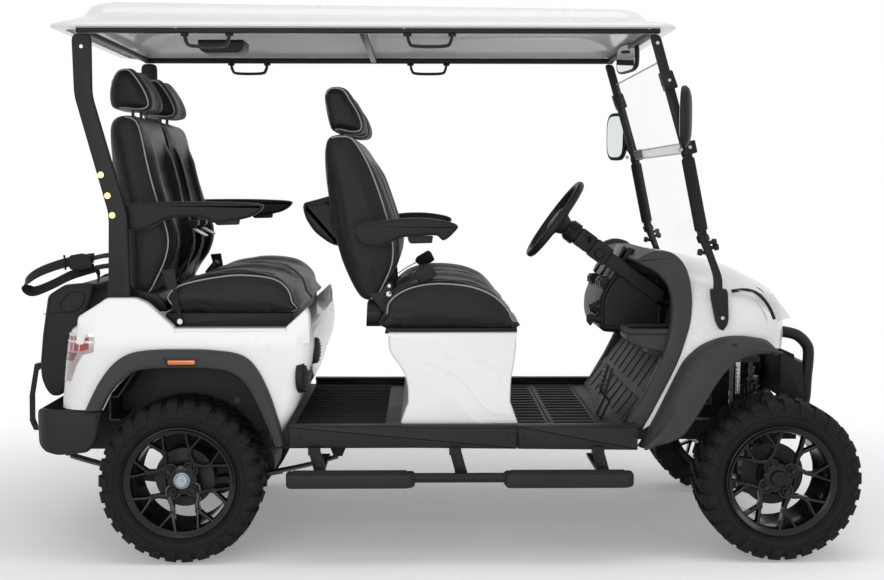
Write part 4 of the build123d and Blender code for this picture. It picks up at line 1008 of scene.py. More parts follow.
def back_lift(row):
    low, high = (1010, 1400) if row == "front" else (1010, 1450)

    def lift(x, z, normal, v):
        face = max(0.0, normal.x) ** 1.5 * between(z, low, high, 70)
        bolster = 15 * bell(abs(v), 0.66, 0.16) * (1 + 0.5 * bell(z, 1120, 90))
        insert = -20 * between(abs(v), -1, 0.46, 0.16)
        seam = -6 * bell(abs(v), 0.48, 0.03)
        channels = -4 * sum(bell(z, low + 60 + 62 * k, 9) for k in range(6)) * between(abs(v), -1, 0.44, 0.06)
        shell = -4 * bell(abs(v), 0.0, 0.8) * max(0.0, -normal.x)
        return face * (bolster + insert + seam + channels) + shell
    return lift


def cushion_lift(row):
    low, high = (760, 1120) if row == "front" else (20, 340)

    def lift(x, z, normal, v):
        face = max(0.0, normal.y) ** 1.5 * between(x, low, high, 60)
        bolster = 12 * bell(abs(v), 0.72, 0.15)
        insert = -12 * between(abs(v), -1, 0.50, 0.18)
        seam = -5 * bell(abs(v), 0.52, 0.025)
        channels = -3.5 * sum(bell(v, -0.36 + 0.18 * k, 0.02) for k in range(5))
        channels *= between(abs(v), -1, 0.5, 0.1)
        return face * (bolster + insert + seam + channels)
    return lift


def headrest_lift(x, z, normal, v):
    return max(0.0, normal.x) * (8 * bell(abs(v), 0.62, 0.2) - 7 * bell(v, 0, 0.35))


def swell(piece, seams, pressure, cap):
    """Inflates a closed shape a little with Cloth, held along its seams; no point moves further than cap."""
    held, free, frames = 0.006, 0.020, 14  # metres from a seam, metres, and the frames that the cloth takes
    start = [vert.co.copy() for vert in piece.data.vertices]
    group = piece.vertex_groups.new(name="seams")
    tree = KDTree(len(seams))
    for i, point in enumerate(seams):
        tree.insert(point, i)
    tree.balance()
    for i, co in enumerate(start):
        weight = max(0.0, min(1.0, (free - tree.find(co)[2]) / (free - held)))
        if weight:
            group.add([i], weight, "REPLACE")
    cloth = piece.modifiers.new("cloth", "CLOTH")
    settings = cloth.settings
    settings.quality = 4
    settings.mass = 0.3
    settings.use_pressure = True
    settings.uniform_pressure_force = pressure
    settings.tension_stiffness = settings.compression_stiffness = 14
    settings.bending_stiffness = 2.0
    settings.effector_weights.gravity = 0
    settings.vertex_group_mass = "seams"
    cloth.point_cache.frame_start, cloth.point_cache.frame_end = 1, frames
    for frame_number in range(1, frames + 1):
        bpy.context.scene.frame_set(frame_number)
    bake_modifiers(piece)
    for vert, before in zip(piece.data.vertices, start):
        move = vert.co - before
        if move.length > cap:
            vert.co = before + move.normalized() * cap
    bpy.context.scene.frame_set(1)
    piece.vertex_groups.clear()


def pad_piece(name, rings, seams, voxel, pressure, cap):
    piece = raw_object(name, loft([[tuple(at_rear(*p)) for p in ring] for ring in rings]))
    remesh = piece.modifiers.new("remesh", "REMESH")
    remesh.mode = "VOXEL"
    remesh.voxel_size = voxel
    soft = piece.modifiers.new("soft", "SMOOTH")
    soft.iterations = 2
    bake_modifiers(piece)
    swell(piece, seams, pressure, cap)
    return piece


def flipped_copy(piece, name):
    """The same piece on the other side of the cart."""
    bm = bmesh.new()
    bm.from_mesh(piece.data)
    for vert in bm.verts:
        vert.co.y = -vert.co.y
    bmesh.ops.reverse_faces(bm, faces=bm.faces[:])
    return raw_object(name, bm)


def ring_line(rings, y, first, last):
    """Points along the outline of the ring nearest to y, between two indices."""
    ring = min(rings, key=lambda r: abs(r[0][1] - y))
    return [ring[index % len(ring)] for index in range(first, last + 1)]


def seam_lines(kind, profile, rings, span, roll):
    """Piping lines just inside both side panels, over the front or top of the pad."""
    per = len(rings[0]) // len(profile)
    corners = len(profile)
    first, last = {
        "back": (7 * per, corners * per - 2),
        "cushion": (per, (corners - 1) * per),
        "headrest": (2 * per, (corners - 1) * per + 2),
    }[kind]
    inset = roll * (1 - math.sin(math.pi / 5))
    return [ring_line(rings, y, first, last) for y in (span[0] + inset, span[1] - inset)]


def on_surface(piece, lines, lift=0.0016):
    """Moves piping points onto the swollen pad."""
    tree = BVHTree.FromPolygons([v.co for v in piece.data.vertices], [p.vertices[:]
                                                                      for p in piece.data.polygons])
    result = []
    for line in lines:
        moved = []
        for point in line:
            spot, normal, _, _ = tree.find_nearest(at_rear(*point))
            moved.append(spot + normal * lift)
        result.append(moved)
    return result


def make_pads():
    jobs = []
    for row in ("front", "rear"):
        jobs += [
            ("back", row, BACKS[row], BACK_SPAN, 42, back_lift(row), 6.0, ("seat_backs",)),
            ("cushion", row, CUSHIONS[row], CUSHION_SPAN, 40, cushion_lift(row), 6.0, ("cushions",)),
            ("headrest", row, HEADRESTS[row], HEADREST_SPAN, 40, headrest_lift, 5.0, ("headrests",)),
        ]
    for kind, row, profile, span, roll, lift, voxel, nodes in jobs:
        rings = pad_grid(profile, span, roll, 12, lift)
        lines = seam_lines(kind, profile, rings, span, roll)
        seams = [at_rear(*p) for line in lines for p in smooth_path(line, 3)]
        left = pad_piece(f"{kind}_{row}_left", rings, seams, voxel * MM, 2.2, 7 * MM)
        lines3d = on_surface(left, lines)
        right = flipped_copy(left, f"{kind}_{row}_right")
        for piece in (left, right):
            dress(piece, VINYL, smooth=180, replaces=nodes, slot="vinyl")
        cords = bmesh.new()
        for line in lines3d:
            add_tube(cords, even_path([tuple(p) for p in line], max(20, len(line))), 3.0, 8)
        mirrored(cords)
        add_piece(f"{kind}_{row}_piping", cords, PIPING, smooth=180, slot="vinyl")


make_pads()


# ---- armrests, seat frames, pockets and belts ----------------------------------------------------
ARMS = {
    "front": [(608, 1181), (607, 1160), (613, 1142), (630, 1121), (658, 1108), (701, 1110), (750, 1130),
              (792, 1143), (886, 1148), (905, 1143), (918, 1131), (934, 1135), (958, 1156), (974, 1180),
              (944, 1196), (865, 1208), (780, 1208), (700, 1199), (625, 1192)],
    "rear": [(-224, 1250), (-218, 1215), (-203, 1184), (-180, 1168), (-135, 1167), (-85, 1187), (-35, 1208),
             (50, 1213), (92, 1204), (112, 1193), (165, 1197), (232, 1209), (268, 1226), (288, 1246),
             (276, 1259), (174, 1265), (60, 1267), (-80, 1266), (-180, 1262)],
}
LATCHES = {"front": (800, 886, 1119, 1146), "rear": (120, 205, 1184, 1206)}
ARM_SPAN = (487.5, 542.5)


RIBBON_SECTION = [(1, 1), (0.9, 1.2), (-0.9, 1.2), (-1, 1), (-1, -1), (-0.9, -1.2), (0.9, -1.2), (1, -1)]


def add_ribbon(bm, path, across, width, thick):
    """A flat band along a path; across is the direction of its width, and width and thick are in mm."""
    path = [Vector(p) for p in path]
    across = Vector(across).normalized()
    rings = []
    for i, point in enumerate(path):
        along = (path[min(i + 1, len(path) - 1)] - path[max(i - 1, 0)]).normalized()
        wide = (across - along * across.dot(along)).normalized() * width * MM / 2
        deep = along.cross(wide).normalized() * thick * MM / 2
        rings.append([tuple(point + (wide * w + deep * d)) for w, d in RIBBON_SECTION])
    add_loft(bm, rings)


def on_side(points, y, place=at_rear):
    return [place(x, y, z) for x, z in points]


def make_armrests():
    low, high = ARM_SPAN
    for row, outline in ARMS.items():
        curve = smooth_path(outline, 3, closed=True)
        x0, x1, z0, z1 = LATCHES[row]
        latch = [(x0, z0 + 6), (x0 + 8, z0), (x1 - 4, z0 + 2), (x1, z1), (x0 - 6, z1)]
        stitches = smooth_path([(x + 2, z + 9) for x, z in outline[1:10]], 4)
        for name, side in (("left", 1), ("right", -1)):
            node = f"armrest_{row}_{name}"
            pad, trim, seams = new_meshes(3)
            add_slab(pad, curve, side * low, side * high, edge=13, steps=5)
            piece = add_piece(f"pad_{node}", pad, VINYL, body=node, smooth=60, replaces=(node,), slot="vinyl")
            add_slab(trim, latch, side * (low + 10), side * (high - 8), 4, edge=2)
            add_piece(f"latch_{node}", trim, BLACK, body=node, smooth=35, bevel=1, slot="vinyl")
            for y in (low + 5, high - 4.2):
                add_tube(seams, on_side(stitches, side * y), 1.1, 6)
            add_piece(f"seam_{node}", seams, PIPING_DARK, body=node, smooth=180, slot="vinyl")


def make_pockets():
    belly = [(424, 1252), (419, 1240), (428, 1208), (443, 1181), (460, 1158), (478, 1142), (505, 1122),
             (532, 1108), (550, 1110), (545, 1150), (530, 1200), (519, 1262)]
    lid = [(417, 1252), (424, 1262), (470, 1274), (505, 1284), (517, 1284), (519, 1268), (500, 1262),
           (440, 1246)]
    bm, top = new_meshes(2)
    for side in SIDES:
        low, high = sorted((side * 92, side * 408))
        add_slab(bm, smooth_path(belly, 3, closed=True), low, high, edge=16, steps=5)
        add_slab(top, lid, low + 6, high - 6, 4, 3, edge=4)
        # raised seam across the pouch
        for y in (low + 24, high - 24):
            add_tube(top, on_side(smooth_path([(x - 2, z) for x, z in belly[1:8]], 3), y), 1.4, 6)
    add_piece("pocket_pouches", bm, VINYL, smooth=60, replaces=("seat_pockets",), slot="vinyl")
    add_piece("pocket_tops", top, BLACK, smooth=40, bevel=1.2, slot="vinyl")


def make_seat_frames():
    frames, trays, bolts, posts = new_meshes(4)
    for x0, x1, z0, z1 in ((714, 1184, 800, 819), (-62, 390, 826.3, 874)):
        tray = [(x0, z0), (x1 - 6, z0), (x1, z0 + 4), (x1, z1), (x1 - 8, z1 + 1), (x0 + 4, z1 + 1)]
        add_slab(trays, tray, -530, 530, 3, 3, edge=4)
    bracket = [(656, 938), (700, 944), (724, 980), (740, 978), (744, 926), (724, 900), (722, 822), (712, 822),
               (710, 868)]
    base = [(-205, 874), (-212, 930), (-205, 965), (-150, 950), (-96, 940), (-70, 905), (-62, 874)]
    outer_face = 474
    for side in SIDES:
        # brackets that carry the front backs
        for face in (outer_face, 66):
            add_slab(frames, bracket, side * (face - 6), side * face, 5, 3, edge=1)
        for x, z, radius in ((728, 937, 11), (729, 966, 8)):
            side_disc(bolts, side, x, outer_face, z, radius, 5, 24, radius - 2)
            side_disc(bolts, side, x, outer_face + 5, z, radius * 0.5, 4, 6)
        # bosses of the armrests' pins
        for x, z in ((650, 1150), (-150, 1222)):
            side_disc(frames, side, x, 476, z, 24, 10.5, 32)
        # plastic base under the rear backs
        add_slab(frames, base, side * 24, side * outer_face, 10, 4, edge=6)
        for x, low, high, lean in ((552, 1496, 1530, -4), (-206, 1566, 1604, 0)):
            for y in (180, 320):
                add_tube(posts, [at_rear(x, side * y, low), at_rear(x + lean, side * y, high)], 6, 16)
                add_disc(frames, at_rear(x, side * y, low + 2), UP, 13, 8, 20, 10)
    add_slab(frames, [(646, 820), (704, 820), (700, 905), (650, 905)], -468, 468, edge=2)
    add_piece("seat_brackets", frames, POWDER, smooth=35, bevel=0.8, replaces=("seat_frames",),
              slot="black_steel")
    add_piece("seat_trays", trays, BLACK, smooth=35, slot="black_steel")
    add_piece("headrest_posts", posts, STEEL_DARK, smooth=60, slot="black_steel")
    add_piece("seat_bolts", bolts, STEEL, smooth=35, slot="black_steel")


def make_belts():
    """Buckles on stalks beside each seat, the rear anchors and the belts that hang by the rear backs."""
    webs, hard, red, chrome = new_meshes(4)
    for side in SIDES:
        # front: stalk from the bracket's bolt to the buckle over the cushion
        y = side * 486
        stalk = [(728, 937), (760, 960), (800, 984), (835, 1002)]
        add_ribbon(webs, on_side(smooth_path(stalk, 4), y), ACROSS, 13, 3)
        head = [(815, 1000), (822, 1018), (871, 1047), (884, 1040), (900, 1008), (893, 1000), (852, 976),
                (840, 978)]
        add_slab(hard, head, y - 15, y + 15, 6, 4, edge=4)
        button = [(874, 1044), (882, 1040), (899, 1008), (895, 1003), (887, 1016)]
        add_slab(red, button, y - 10, y + 10, edge=1)
        # rear: sleeve and strap down to the floor bolt
        y = side * 539
        add_ribbon(webs, on_side([(-24, 962), (-20, 935), (-12, 890), (-6, 852)], y), (1, 0, 0.2), 11, 2.5)
        sleeve = [(-70, 1028), (-24, 1032), (-14, 966), (-50, 958)]
        add_slab(hard, sleeve, y - 5, y + 4, 5, 3, edge=2)
        side_disc(chrome, side, -6, 541, 846, 11, 4, 28, 9.5)
        side_disc(chrome, side, -6, 545, 846, 5.5, 2, 6)
        # belt along the rear back with its tongue
        y = side * 96
        path = [(-150, 1500), (-112, 1434), (-84, 1330), (-66, 1240), (-36, 1170), (-30, 1091), (-52, 1030),
                (-70, 960)]
        add_ribbon(webs, on_side(smooth_path(path, 5), y), ACROSS, 44, 1.6)
        clip = [(-84, 1192), (-10, 1190), (-12, 1172), (-30, 1160), (-84, 1164)]
        add_slab(hard, clip, y - 30, y + 30, 4, 3, edge=3)
        tongue = [(-46, 1162), (-22, 1160), (24, 1134), (20, 1129), (-28, 1150), (-46, 1154)]
        add_slab(chrome, tongue, y - 14, y + 14, 2, 2, edge=1)
        # inner buckles between the cushions
        for x, z in ((835, 1000), (70, 1030)):
            add_ribbon(webs, on_side([(x - 66, z - 80), (x - 30, z - 30)], side * 3), (0.4, 0, 1), 12, 3)
        for x, z in ((806, 970), (14, 1010)):
            box = [(x - 16, z - 22), (x + 22, z + 24), (x + 36, z + 10), (x, z - 34)]
            add_slab(hard, box, side * 6, side * 30, 5, 3, edge=3)
    add_piece("belt_webbing", webs, WEBBING, smooth=50, slot="webbing")
    add_piece("belt_buckles", hard, BLACK, smooth=40, bevel=0.8, slot="webbing")
    add_piece("buckle_buttons", red, RED, smooth=40, slot="webbing")
    add_piece("belt_metal", chrome, STEEL, smooth=35, slot="webbing")


make_armrests()
make_pockets()
make_seat_frames()
make_belts()


# ---- struts, windscreen and mirrors --------------------------------------------------------------
FRONT_STRUT = [(1635, 1845), (1750, 1451), (1814, 1143), (1851, 1063), (1872, 1000), (1872, 950), (1904, 950),
               (1902, 1002), (1878, 1063), (1848, 1143), (1786, 1451), (1672, 1845)]
REAR_STRUT = [(-359, 1845), (-354, 1634), (-243, 1223), (-250, 915), (-172, 915), (-178, 1223), (-292, 1634),
              (-291, 1845)]
SHOE = [(1860, 961), (1917, 961), (1923, 946), (1927, 854), (1922, 832), (1908, 812), (1895, 818),
        (1881, 845), (1864, 924)]
STRUT_CENTRE = [(950, 1888), (1000, 1887), (1063, 1864), (1143, 1831), (1451, 1768), (1845, 1653)]
STRUT_SPAN = (553, 573)
STRUT_FACE = STRUT_SPAN[1]
STRUT_MIDDLE = 563


def strut_at(z):
    """x of the front strut's centre at a height."""
    return on_line(STRUT_CENTRE, z)


def add_sleeve(bm, low, high, y, radius, lip=2.0):
    """A foam sleeve or clamp round the front strut between two heights."""
    heights = [low, low + 6, *[low + (high - low) * k / 8 for k in range(1, 8)], high - 6, high]
    path = [at_rear(strut_at(z), y, z) for z in heights]
    add_tube(bm, path, [radius - lip] + [radius] * (len(path) - 2) + [radius - lip], 28)


def make_struts():
    bars, socks, bolts, gold = new_meshes(4)
    for side in SIDES:
        span = [side * y for y in STRUT_SPAN]
        add_slab(bars, FRONT_STRUT, *span, 18, 5, edge=6, steps=4)
        add_slab(bars, REAR_STRUT, *span, 26, 5, edge=6, steps=4)
        add_slab(bars, SHOE, side * 545.3, side * 574.5, 8, 4, edge=7, steps=4)
        side_disc(bolts, side, 1904, 574.4, 858, 6.5, 1, 24, 5)
        y = side * STRUT_MIDDLE
        add_sleeve(socks, 1166, 1418, y, 23)
        for low, high, radius in ((1128, 1150, 22), (1428, 1446, 20), (1672, 1708, 24)):
            add_sleeve(bars, low, high, y, radius, 1.0)
        # pivot block of the folding pane and its clamp
        block = [(1668, 1712), (1712, 1722), (1734, 1662), (1690, 1648)]
        add_slab(bars, block, side * 545, side * 590, 6, 3, edge=4)
        fold = [(1752, 1472), (1796, 1482), (1806, 1438), (1764, 1426)]
        add_slab(bars, fold, side * 542, side * 582, 6, 3, edge=4)
        side_disc(bolts, side, 1778, 582, 1456, 8, 5, 20, 6)
        side_disc(bolts, side, 1702, 590, 1686, 7, 4, 20, 5)
        # thumb knobs below the sleeve
        for x, z, lean in ((1822, 1122, 1), (1862, 1104, 1), (1800, 1086, -1)):
            add_disc(bars, at_rear(strut_at(z), y, z), (lean, 0, 0.12), 7, 30, 16)
            add_disc(bars, at_rear(strut_at(z) + lean * 26, y, z + 3), (lean, 0, 0.12), 13, 14, 12, 11)
        for x, z in ((-266, 1360), (-244, 1288), (-229, 1220)):
            side_disc(gold, side, x, STRUT_FACE, z, 12, 3, 24, 11)
            side_disc(gold, side, x, STRUT_FACE + 3, z, 7.5, 4, 6)
        for x, z in ((-324, 1800), (1662, 1815)):
            side_disc(bolts, side, x, STRUT_FACE, z, 8, 4, 20, 6)
    add_piece("strut_bars", bars, POWDER, smooth=50, replaces=("struts",), slot="black_steel")
    add_piece("strut_sleeves", socks, FOAM, smooth=60, slot="black_steel")
    add_piece("strut_bolts", bolts, STEEL, smooth=35, slot="black_steel")
    add_piece("gold_bolts", gold, BRASS, smooth=35, slot="black_steel")


def make_windscreen():
    panes, strips, edges = new_meshes(3)
    half = 541
    upper = [(1682, 1757), (1687, 1758), (1767, 1466), (1762, 1465)]
    lower = [(1768, 1440), (1773, 1441), (1836, 1143), (1863, 1066), (1858, 1064), (1831, 1142)]
    fold = [(1758, 1468), (1768, 1470), (1777, 1440), (1767, 1438)]
    add_slab(panes, upper, -half, half)
    add_slab(panes, lower, -half, half)
    add_slab(strips, fold, -half, half, edge=2)
    for x, z, radius in ((1683, 1757, 3.2), (1763, 1471, 2.6), (1772, 1437, 2.6)):
        across_tube(edges, x, z, half, radius, 8)
    add_piece("windscreen_panes", panes, CLEAR, smooth=20, replaces=("windshield",), slot="clear")
    add_piece("windscreen_fold", strips, SMOKE, smooth=20, slot="clear")
    add_piece("windscreen_edges", edges, EDGE_GREY, smooth=60, slot="clear")


def rounded_plate(place, half_w, half_h, power, levels, count=48):
    """Rings of a superellipse; levels is (depth, scale of the outline)."""
    rings = []
    for depth, scale in levels:
        ring = []
        for k in range(count):
            a = 2 * math.pi * k / count
            c, s = math.cos(a), math.sin(a)
            u = scale * half_w * math.copysign(abs(c) ** (2 / power), c)
            v = scale * half_h * math.copysign(abs(s) ** (2 / power), s)
            ring.append(tuple(place(depth, u, v)))
        rings.append(ring)
    return rings


def make_mirrors():
    shells, glass, bolts = new_meshes(3)
    spots = [  # x, y, z, half width, half height, power, yaw, depth of the shell
        (1734, -650, 1558, 56, 105, 2.5, -18, 34), (1696, 650, 1538, 56, 104, 3.6, 36, 34),
        (1640, 0, 1818, 128, 58, 4.0, 9, 24),
    ]
    for x, y, z, half_w, half_h, power, yaw, depth in spots:
        turn = math.radians(yaw)
        back = Vector((-math.cos(turn), -math.sin(turn), 0))
        across = Vector((-math.sin(turn), math.cos(turn), 0))
        centre = at_rear(x, y, z)

        def place(d, u, v):
            return centre - back * d * MM + across * u * MM + Vector((0, 0, v * MM))

        body = [(0, 0.90), (0.4, 0.96), (4, 1.0), (depth * 0.45, 1.0), (depth * 0.75, 0.9),
                (depth * 0.93, 0.70), (depth, 0.35)]
        add_loft(shells, rounded_plate(place, half_w, half_h, power, body))
        face = [(-1.2, 0.86), (1.0, 0.875)]
        add_loft(glass, rounded_plate(place, half_w, half_h, power, face))
    for side in SIDES:
        side_disc(shells, side, 1758, STRUT_FACE, 1470, 15, 18, 24, 12)
        arm = [(1754, 584, 1470), (1748, 606, 1482), (1742, 632, 1520)]
        add_tube(shells, [at_rear(x, side * y, z) for x, y, z in arm], 9, 16)
        side_disc(bolts, side, 1742, 600, 1447, 8, 4, 20, 7)
    add_tube(shells, on_side(smooth_path([(1646, 1796), (1656, 1822), (1650, 1845)], 4), 0), 9, 16)
    add_disc(shells, at_rear(1650, 0, 1836), UP, 28, 9.5, 28)
    add_piece("mirror_shells", shells, BLACK, smooth=45, replaces=("mirrors",), slot="black_plastic")
    add_piece("mirror_faces", glass, MIRROR, smooth=45, slot="black_plastic")
    add_piece("mirror_bolts", bolts, STEEL, smooth=35, slot="black_plastic")


# ---- dash, column and pedals ---------------------------------------------------------------------
COLUMN = Vector((-math.cos(math.radians(36)), 0, math.sin(math.radians(36))))
COLUMN_UP = Vector((COLUMN.z, 0, -COLUMN.x))


def on_column(distance, across=0.0, lift=0.0):
    """A point along the steering column; lift is square to it and up."""
    base = at_front(-365, -280, 905)
    return base + COLUMN * distance * MM + Vector((0, across * MM, 0)) + COLUMN_UP * lift * MM


def column_block(bm, start, stop, half_across, low, high, radius=6):
    outline = [(start, low), (stop, low), (stop, high), (start, high)]
    add_slab(bm, outline, -half_across, half_across, radius, 3, edge=4, place=on_column)


def make_steering():
    grip, hub, column, joints = new_meshes(4)
    rim, thick, offset = 155, 14, 500
    turns = [2 * math.pi * k / 96 for k in range(96)]
    path = [on_column(offset, rim * math.cos(a), rim * math.sin(a)) for a in turns]
    add_tube(grip, path, thick, 20, closed=True)
    for angle in (0, 180, 270):
        a = math.radians(angle)
        spoke = [on_column(offset - 12 + 8 * (r / rim) ** 2, r * math.cos(a), r * math.sin(a))
                 for r in (28, 60, 90, 120, 150)]
        across = Vector((0, -math.sin(a), 0)) + COLUMN_UP * math.cos(a)
        add_ribbon(hub, spoke, across, 30, 9)
    add_disc(hub, on_column(offset - 28), COLUMN, 52, 22, 40, 54)
    add_disc(hub, on_column(offset - 6.2), COLUMN, 54, 12, 40, 42)
    add_disc(hub, on_column(offset - 54), COLUMN, 30, 27, 32, 42)
    add_disc(column, on_column(400), COLUMN, 40, 44, 32, 36)
    for k in range(4):
        add_disc(column, on_column(404 + 9 * k), COLUMN, 43, 5, 32, 41)
    column_block(column, 8, 262, 25, -27, 25, 12)
    column_block(column, 256, 330, 38, -36, 36, 10)
    column_block(column, 330, 398, 36, -33, 36, 10)
    for across in (44, -44):
        add_disc(column, on_column(296, across * 0.9, -8), (0, across, 0), 19, 12, 24, 15)
    for across, reach in ((1, 150), (-1, 110)):
        lever = [on_column(352, across * 34, 6), on_column(360, across * 70, 14),
                 on_column(376, across * reach, 24)]
        add_tube(column, lever, [5, 6, 8], 12)
    add_disc(joints, on_column(-30, 0, -6), COLUMN, 20, 38, 28, 24)
    for across in (1, -1):
        add_disc(joints, on_column(-24, across * 26, 0), (0, across, 0), 12, 9, 24, 9)
    add_piece("wheel_grip", grip, GRIP, body="steering_wheel", smooth=180, replaces=("steering_wheel",),
              slot="rubber_grip")
    add_piece("wheel_hub", hub, BLACK, body="steering_wheel", smooth=40, bevel=1.2, slot="rubber_grip")
    add_piece("column_cover", column, BLACK, smooth=40, bevel=1.2, replaces=("steering_column",),
              slot="black_steel")
    add_piece("column_joint", joints, STEEL_DARK, smooth=35, bevel=1, slot="black_steel")


def make_console():
    """Binnacle behind the column, switches, key and display."""
    shell, dark, glass, key = new_meshes(4)
    outer = [(1528, 926), (1550, 962), (1574, 1004), (1612, 1050), (1680, 1056), (1757, 1055), (1774, 1040),
             (1780, 920), (1763, 797), (1753, 766), (1640, 764), (1524, 772), (1510, 820), (1512, 880)]
    add_slab(shell, outer, -235, 235, 22, 5, edge=24, steps=5)
    # raised surround and recessed panel on the side that shows
    ring = [(1530, 900), (1562, 962), (1600, 990), (1700, 985), (1738, 960), (1740, 830), (1716, 792),
            (1545, 790), (1528, 820)]
    ring3 = on_side(smooth_path(ring, 4, closed=True), -235.5)
    add_tube(shell, ring3, 7, 10, closed=True)
    # switches and lock on the panel that faces the driver
    for y, z in ((-200, 955), (-150, 960), (-100, 955), (100, 955), (160, 950)):
        add_box(dark, at_rear(1524, y - 15, z - 22), at_rear(1552, y + 15, z + 18))
        add_box(dark, at_rear(1518, y - 10, z - 14), at_rear(1530, y + 10, z + 10))
    for y, z, radius in ((-212, 868, 24), (-212, 820, 20), (-150, 850, 22)):
        add_disc(dark, at_rear(1528, y, z), (-1, 0, 0.1), radius, 26, 24, radius * 0.85)
        add_disc(dark, at_rear(1504, y, z + 2), (-1, 0, 0.1), radius * 0.6, 14, 20, radius * 0.5)
    # dummy dials on the face of the binnacle
    for y in (-90, 90):
        add_disc(dark, at_rear(1556, y, 1004), (-0.86, 0, 0.5), 34, 10, 36, 30)
    # key with its fob
    add_box(key, at_rear(1478, -215, 862), at_rear(1500, -209, 876))
    add_tube(key, [at_rear(1484, -212, 862), at_rear(1483, -212, 838)], 1.2, 6)
    fob = [(1470, 838), (1496, 838), (1500, 815), (1484, 792), (1468, 812)]
    add_slab(key, fob, -220, -204, 6, 4, edge=5)
    # display: a thin tablet on a foot
    frame_line = [(1577, 1044), (1583, 1040), (1614, 1092), (1607, 1098), (1601, 1094)]
    add_slab(glass, frame_line, -240, -62, 2, 2, edge=2)
    foot = [(1596, 1058), (1612, 1078), (1648, 1082), (1648, 1071), (1612, 1062)]
    add_slab(dark, foot, -175, -125, 4, 3, edge=2)
    tablet = [(1590, 1038), (1620, 1090), (1626, 1092), (1648, 1084), (1626, 1044), (1596, 1034)]
    add_slab(dark, tablet, -245, -57, 4, 3, edge=3)
    add_piece("binnacle", shell, BLACK, smooth=45, replaces=("dash_console",), slot="black_plastic")
    add_piece("switches", dark, BLACK, smooth=40, bevel=2, replaces=("display",), slot="black_plastic")
    add_piece("display_glass", glass, SCREEN, smooth=40, slot="lamp_lens")
    add_piece("key_fob", key, BLACK, smooth=40, bevel=0.8, slot="black_plastic")


def make_trays():
    tray, dark = new_meshes(2)
    for side in SIDES:
        low, high = sorted((side * 345, side * 530))
        outer = [(1574, 800), (1578, 768), (1620, 748), (1742, 712), (1762, 722), (1764, 800)]
        add_slab(tray, outer, low, high, 14, 4, edge=10, steps=4)
        # rolled lip round the opening
        lip = [(1588, low + 14), (1588, high - 14), (1602, high - 4), (1748, high - 4), (1758, high - 12),
               (1758, low + 12), (1748, low + 4), (1602, low + 4)]
        path = [at_rear(x, y, 806) for x, y in smooth_path(lip, 3, closed=True)]
        add_tube(tray, path, 11, 12, closed=True)
        add_box(dark, at_rear(1600, low + 16, 800), at_rear(1750, high - 16, 806.5))
        latch = [(1650, 752), (1700, 740), (1704, 716), (1672, 712), (1648, 728)]
        add_slab(dark, latch, side * 440, side * 530, 5, 3, edge=3)
    add_piece("dash_trays", tray, CHARCOAL, smooth=60, slot="dark_plastic")
    add_piece("tray_wells", dark, BLACK, smooth=40, bevel=1, slot="dark_plastic")


def make_pedals():
    bm, pads = new_meshes(2)
    for y, half in ((-330, 30), (-220, 38)):
        arm = [(1510, 458), (1530, 505), (1540, 528), (1524, 556), (1548, 642)]
        add_ribbon(bm, on_side(smooth_path(arm, 3), y), ACROSS, 22, 8)
        pad = [(1518, 556), (1526, 553), (1553, 646), (1545, 650)]
        add_slab(pads, pad, y - half, y + half, 3, 2, edge=2)
        for k in range(5):
            x, z = 1519 + 5.6 * k, 570 + 17 * k
            across_tube(pads, x, z, half - 5, 2.6, 8, y)
    add_piece("pedal_arms", bm, POWDER, smooth=40, bevel=1, replaces=("pedals",), slot="black_steel")
    add_piece("pedal_pads", pads, MAT, smooth=50, slot="black_steel")


make_struts()
make_windscreen()
make_mirrors()
make_steering()
make_console()
make_trays()
make_pedals()


# ---- rear box, strap, lamps and bumper -----------------------------------------------------------


def make_rear_box():
    outer = [(-432, 578), (-400, 700), (-386, 850), (-362, 915), (-354, 962), (-405, 966), (-468, 960),
             (-530, 921), (-553, 774), (-564, 664), (-560, 610), (-545, 572), (-525, 547), (-493, 547),
             (-465, 576)]
    box = raw_object("rear_box_shell", slab(outer, -330, 330, 16, edge=16, steps=5))
    carve(box, [slab([(-455, 640), (-400, 990), (-500, 990), (-510, 860), (-514, 640)], -312, 312)])
    dress(box, BLACK, smooth=45, bevel=1.5, replaces=("rear_box",), slot="black_plastic")
    trim = bmesh.new()
    for side in SIDES:
        leaf = [(-484, 881), (-466, 915), (-430, 934), (-396, 927), (-398, 900), (-412, 876), (-440, 864),
                (-468, 862)]
        line = on_side(smooth_path(leaf, 4, closed=True), side * 330)
        add_tube(trim, line, 3.2, 8, closed=True)
        split = [(-545, 852), (-480, 858), (-400, 852)]
        add_tube(trim, on_side(smooth_path(split, 4), side * 330.5), 1.6, 6)
    add_piece("rear_box_trim", trim, POWDER, smooth=180, slot="black_plastic")


def make_strap():
    webs, hard = new_meshes(2)
    loop = [(-388, 1052), (-454, 1043), (-529, 1024), (-600, 996), (-640, 966), (-646, 942), (-616, 926),
            (-548, 951), (-482, 984), (-430, 1002), (-388, 1014)]
    add_ribbon(webs, on_side(smooth_path(loop, 5), -200), (0.05, 0.62, 0.78), 44, 3)
    for tail in ([(-388, 1014), (-340, 1022), (-290, 1026)], [(-388, 1052), (-336, 1062), (-290, 1060)],
                 [(-388, 1014), (-372, 990), (-380, 930), (-392, 860), (-400, 800)]):
        add_ribbon(webs, on_side(smooth_path(tail, 4), -200), (0.0, 0.9, 0.45), 34, 3)
    buckle = [(-476, 1062), (-430, 1070), (-396, 1060), (-392, 1012), (-430, 1004), (-476, 1010),
              (-480, 1030)]
    add_slab(hard, buckle, -222, -200, 8, 4, edge=5)
    for x in (-494, -396):
        add_tube(hard, on_side([(x, 1064), (x + 4, 1008)], -222), 4, 10)
    add_piece("bag_strap_web", webs, WEBBING, smooth=60, replaces=("bag_strap",), slot="webbing")
    add_piece("bag_strap_buckle", hard, BLACK, smooth=45, bevel=1, slot="webbing")


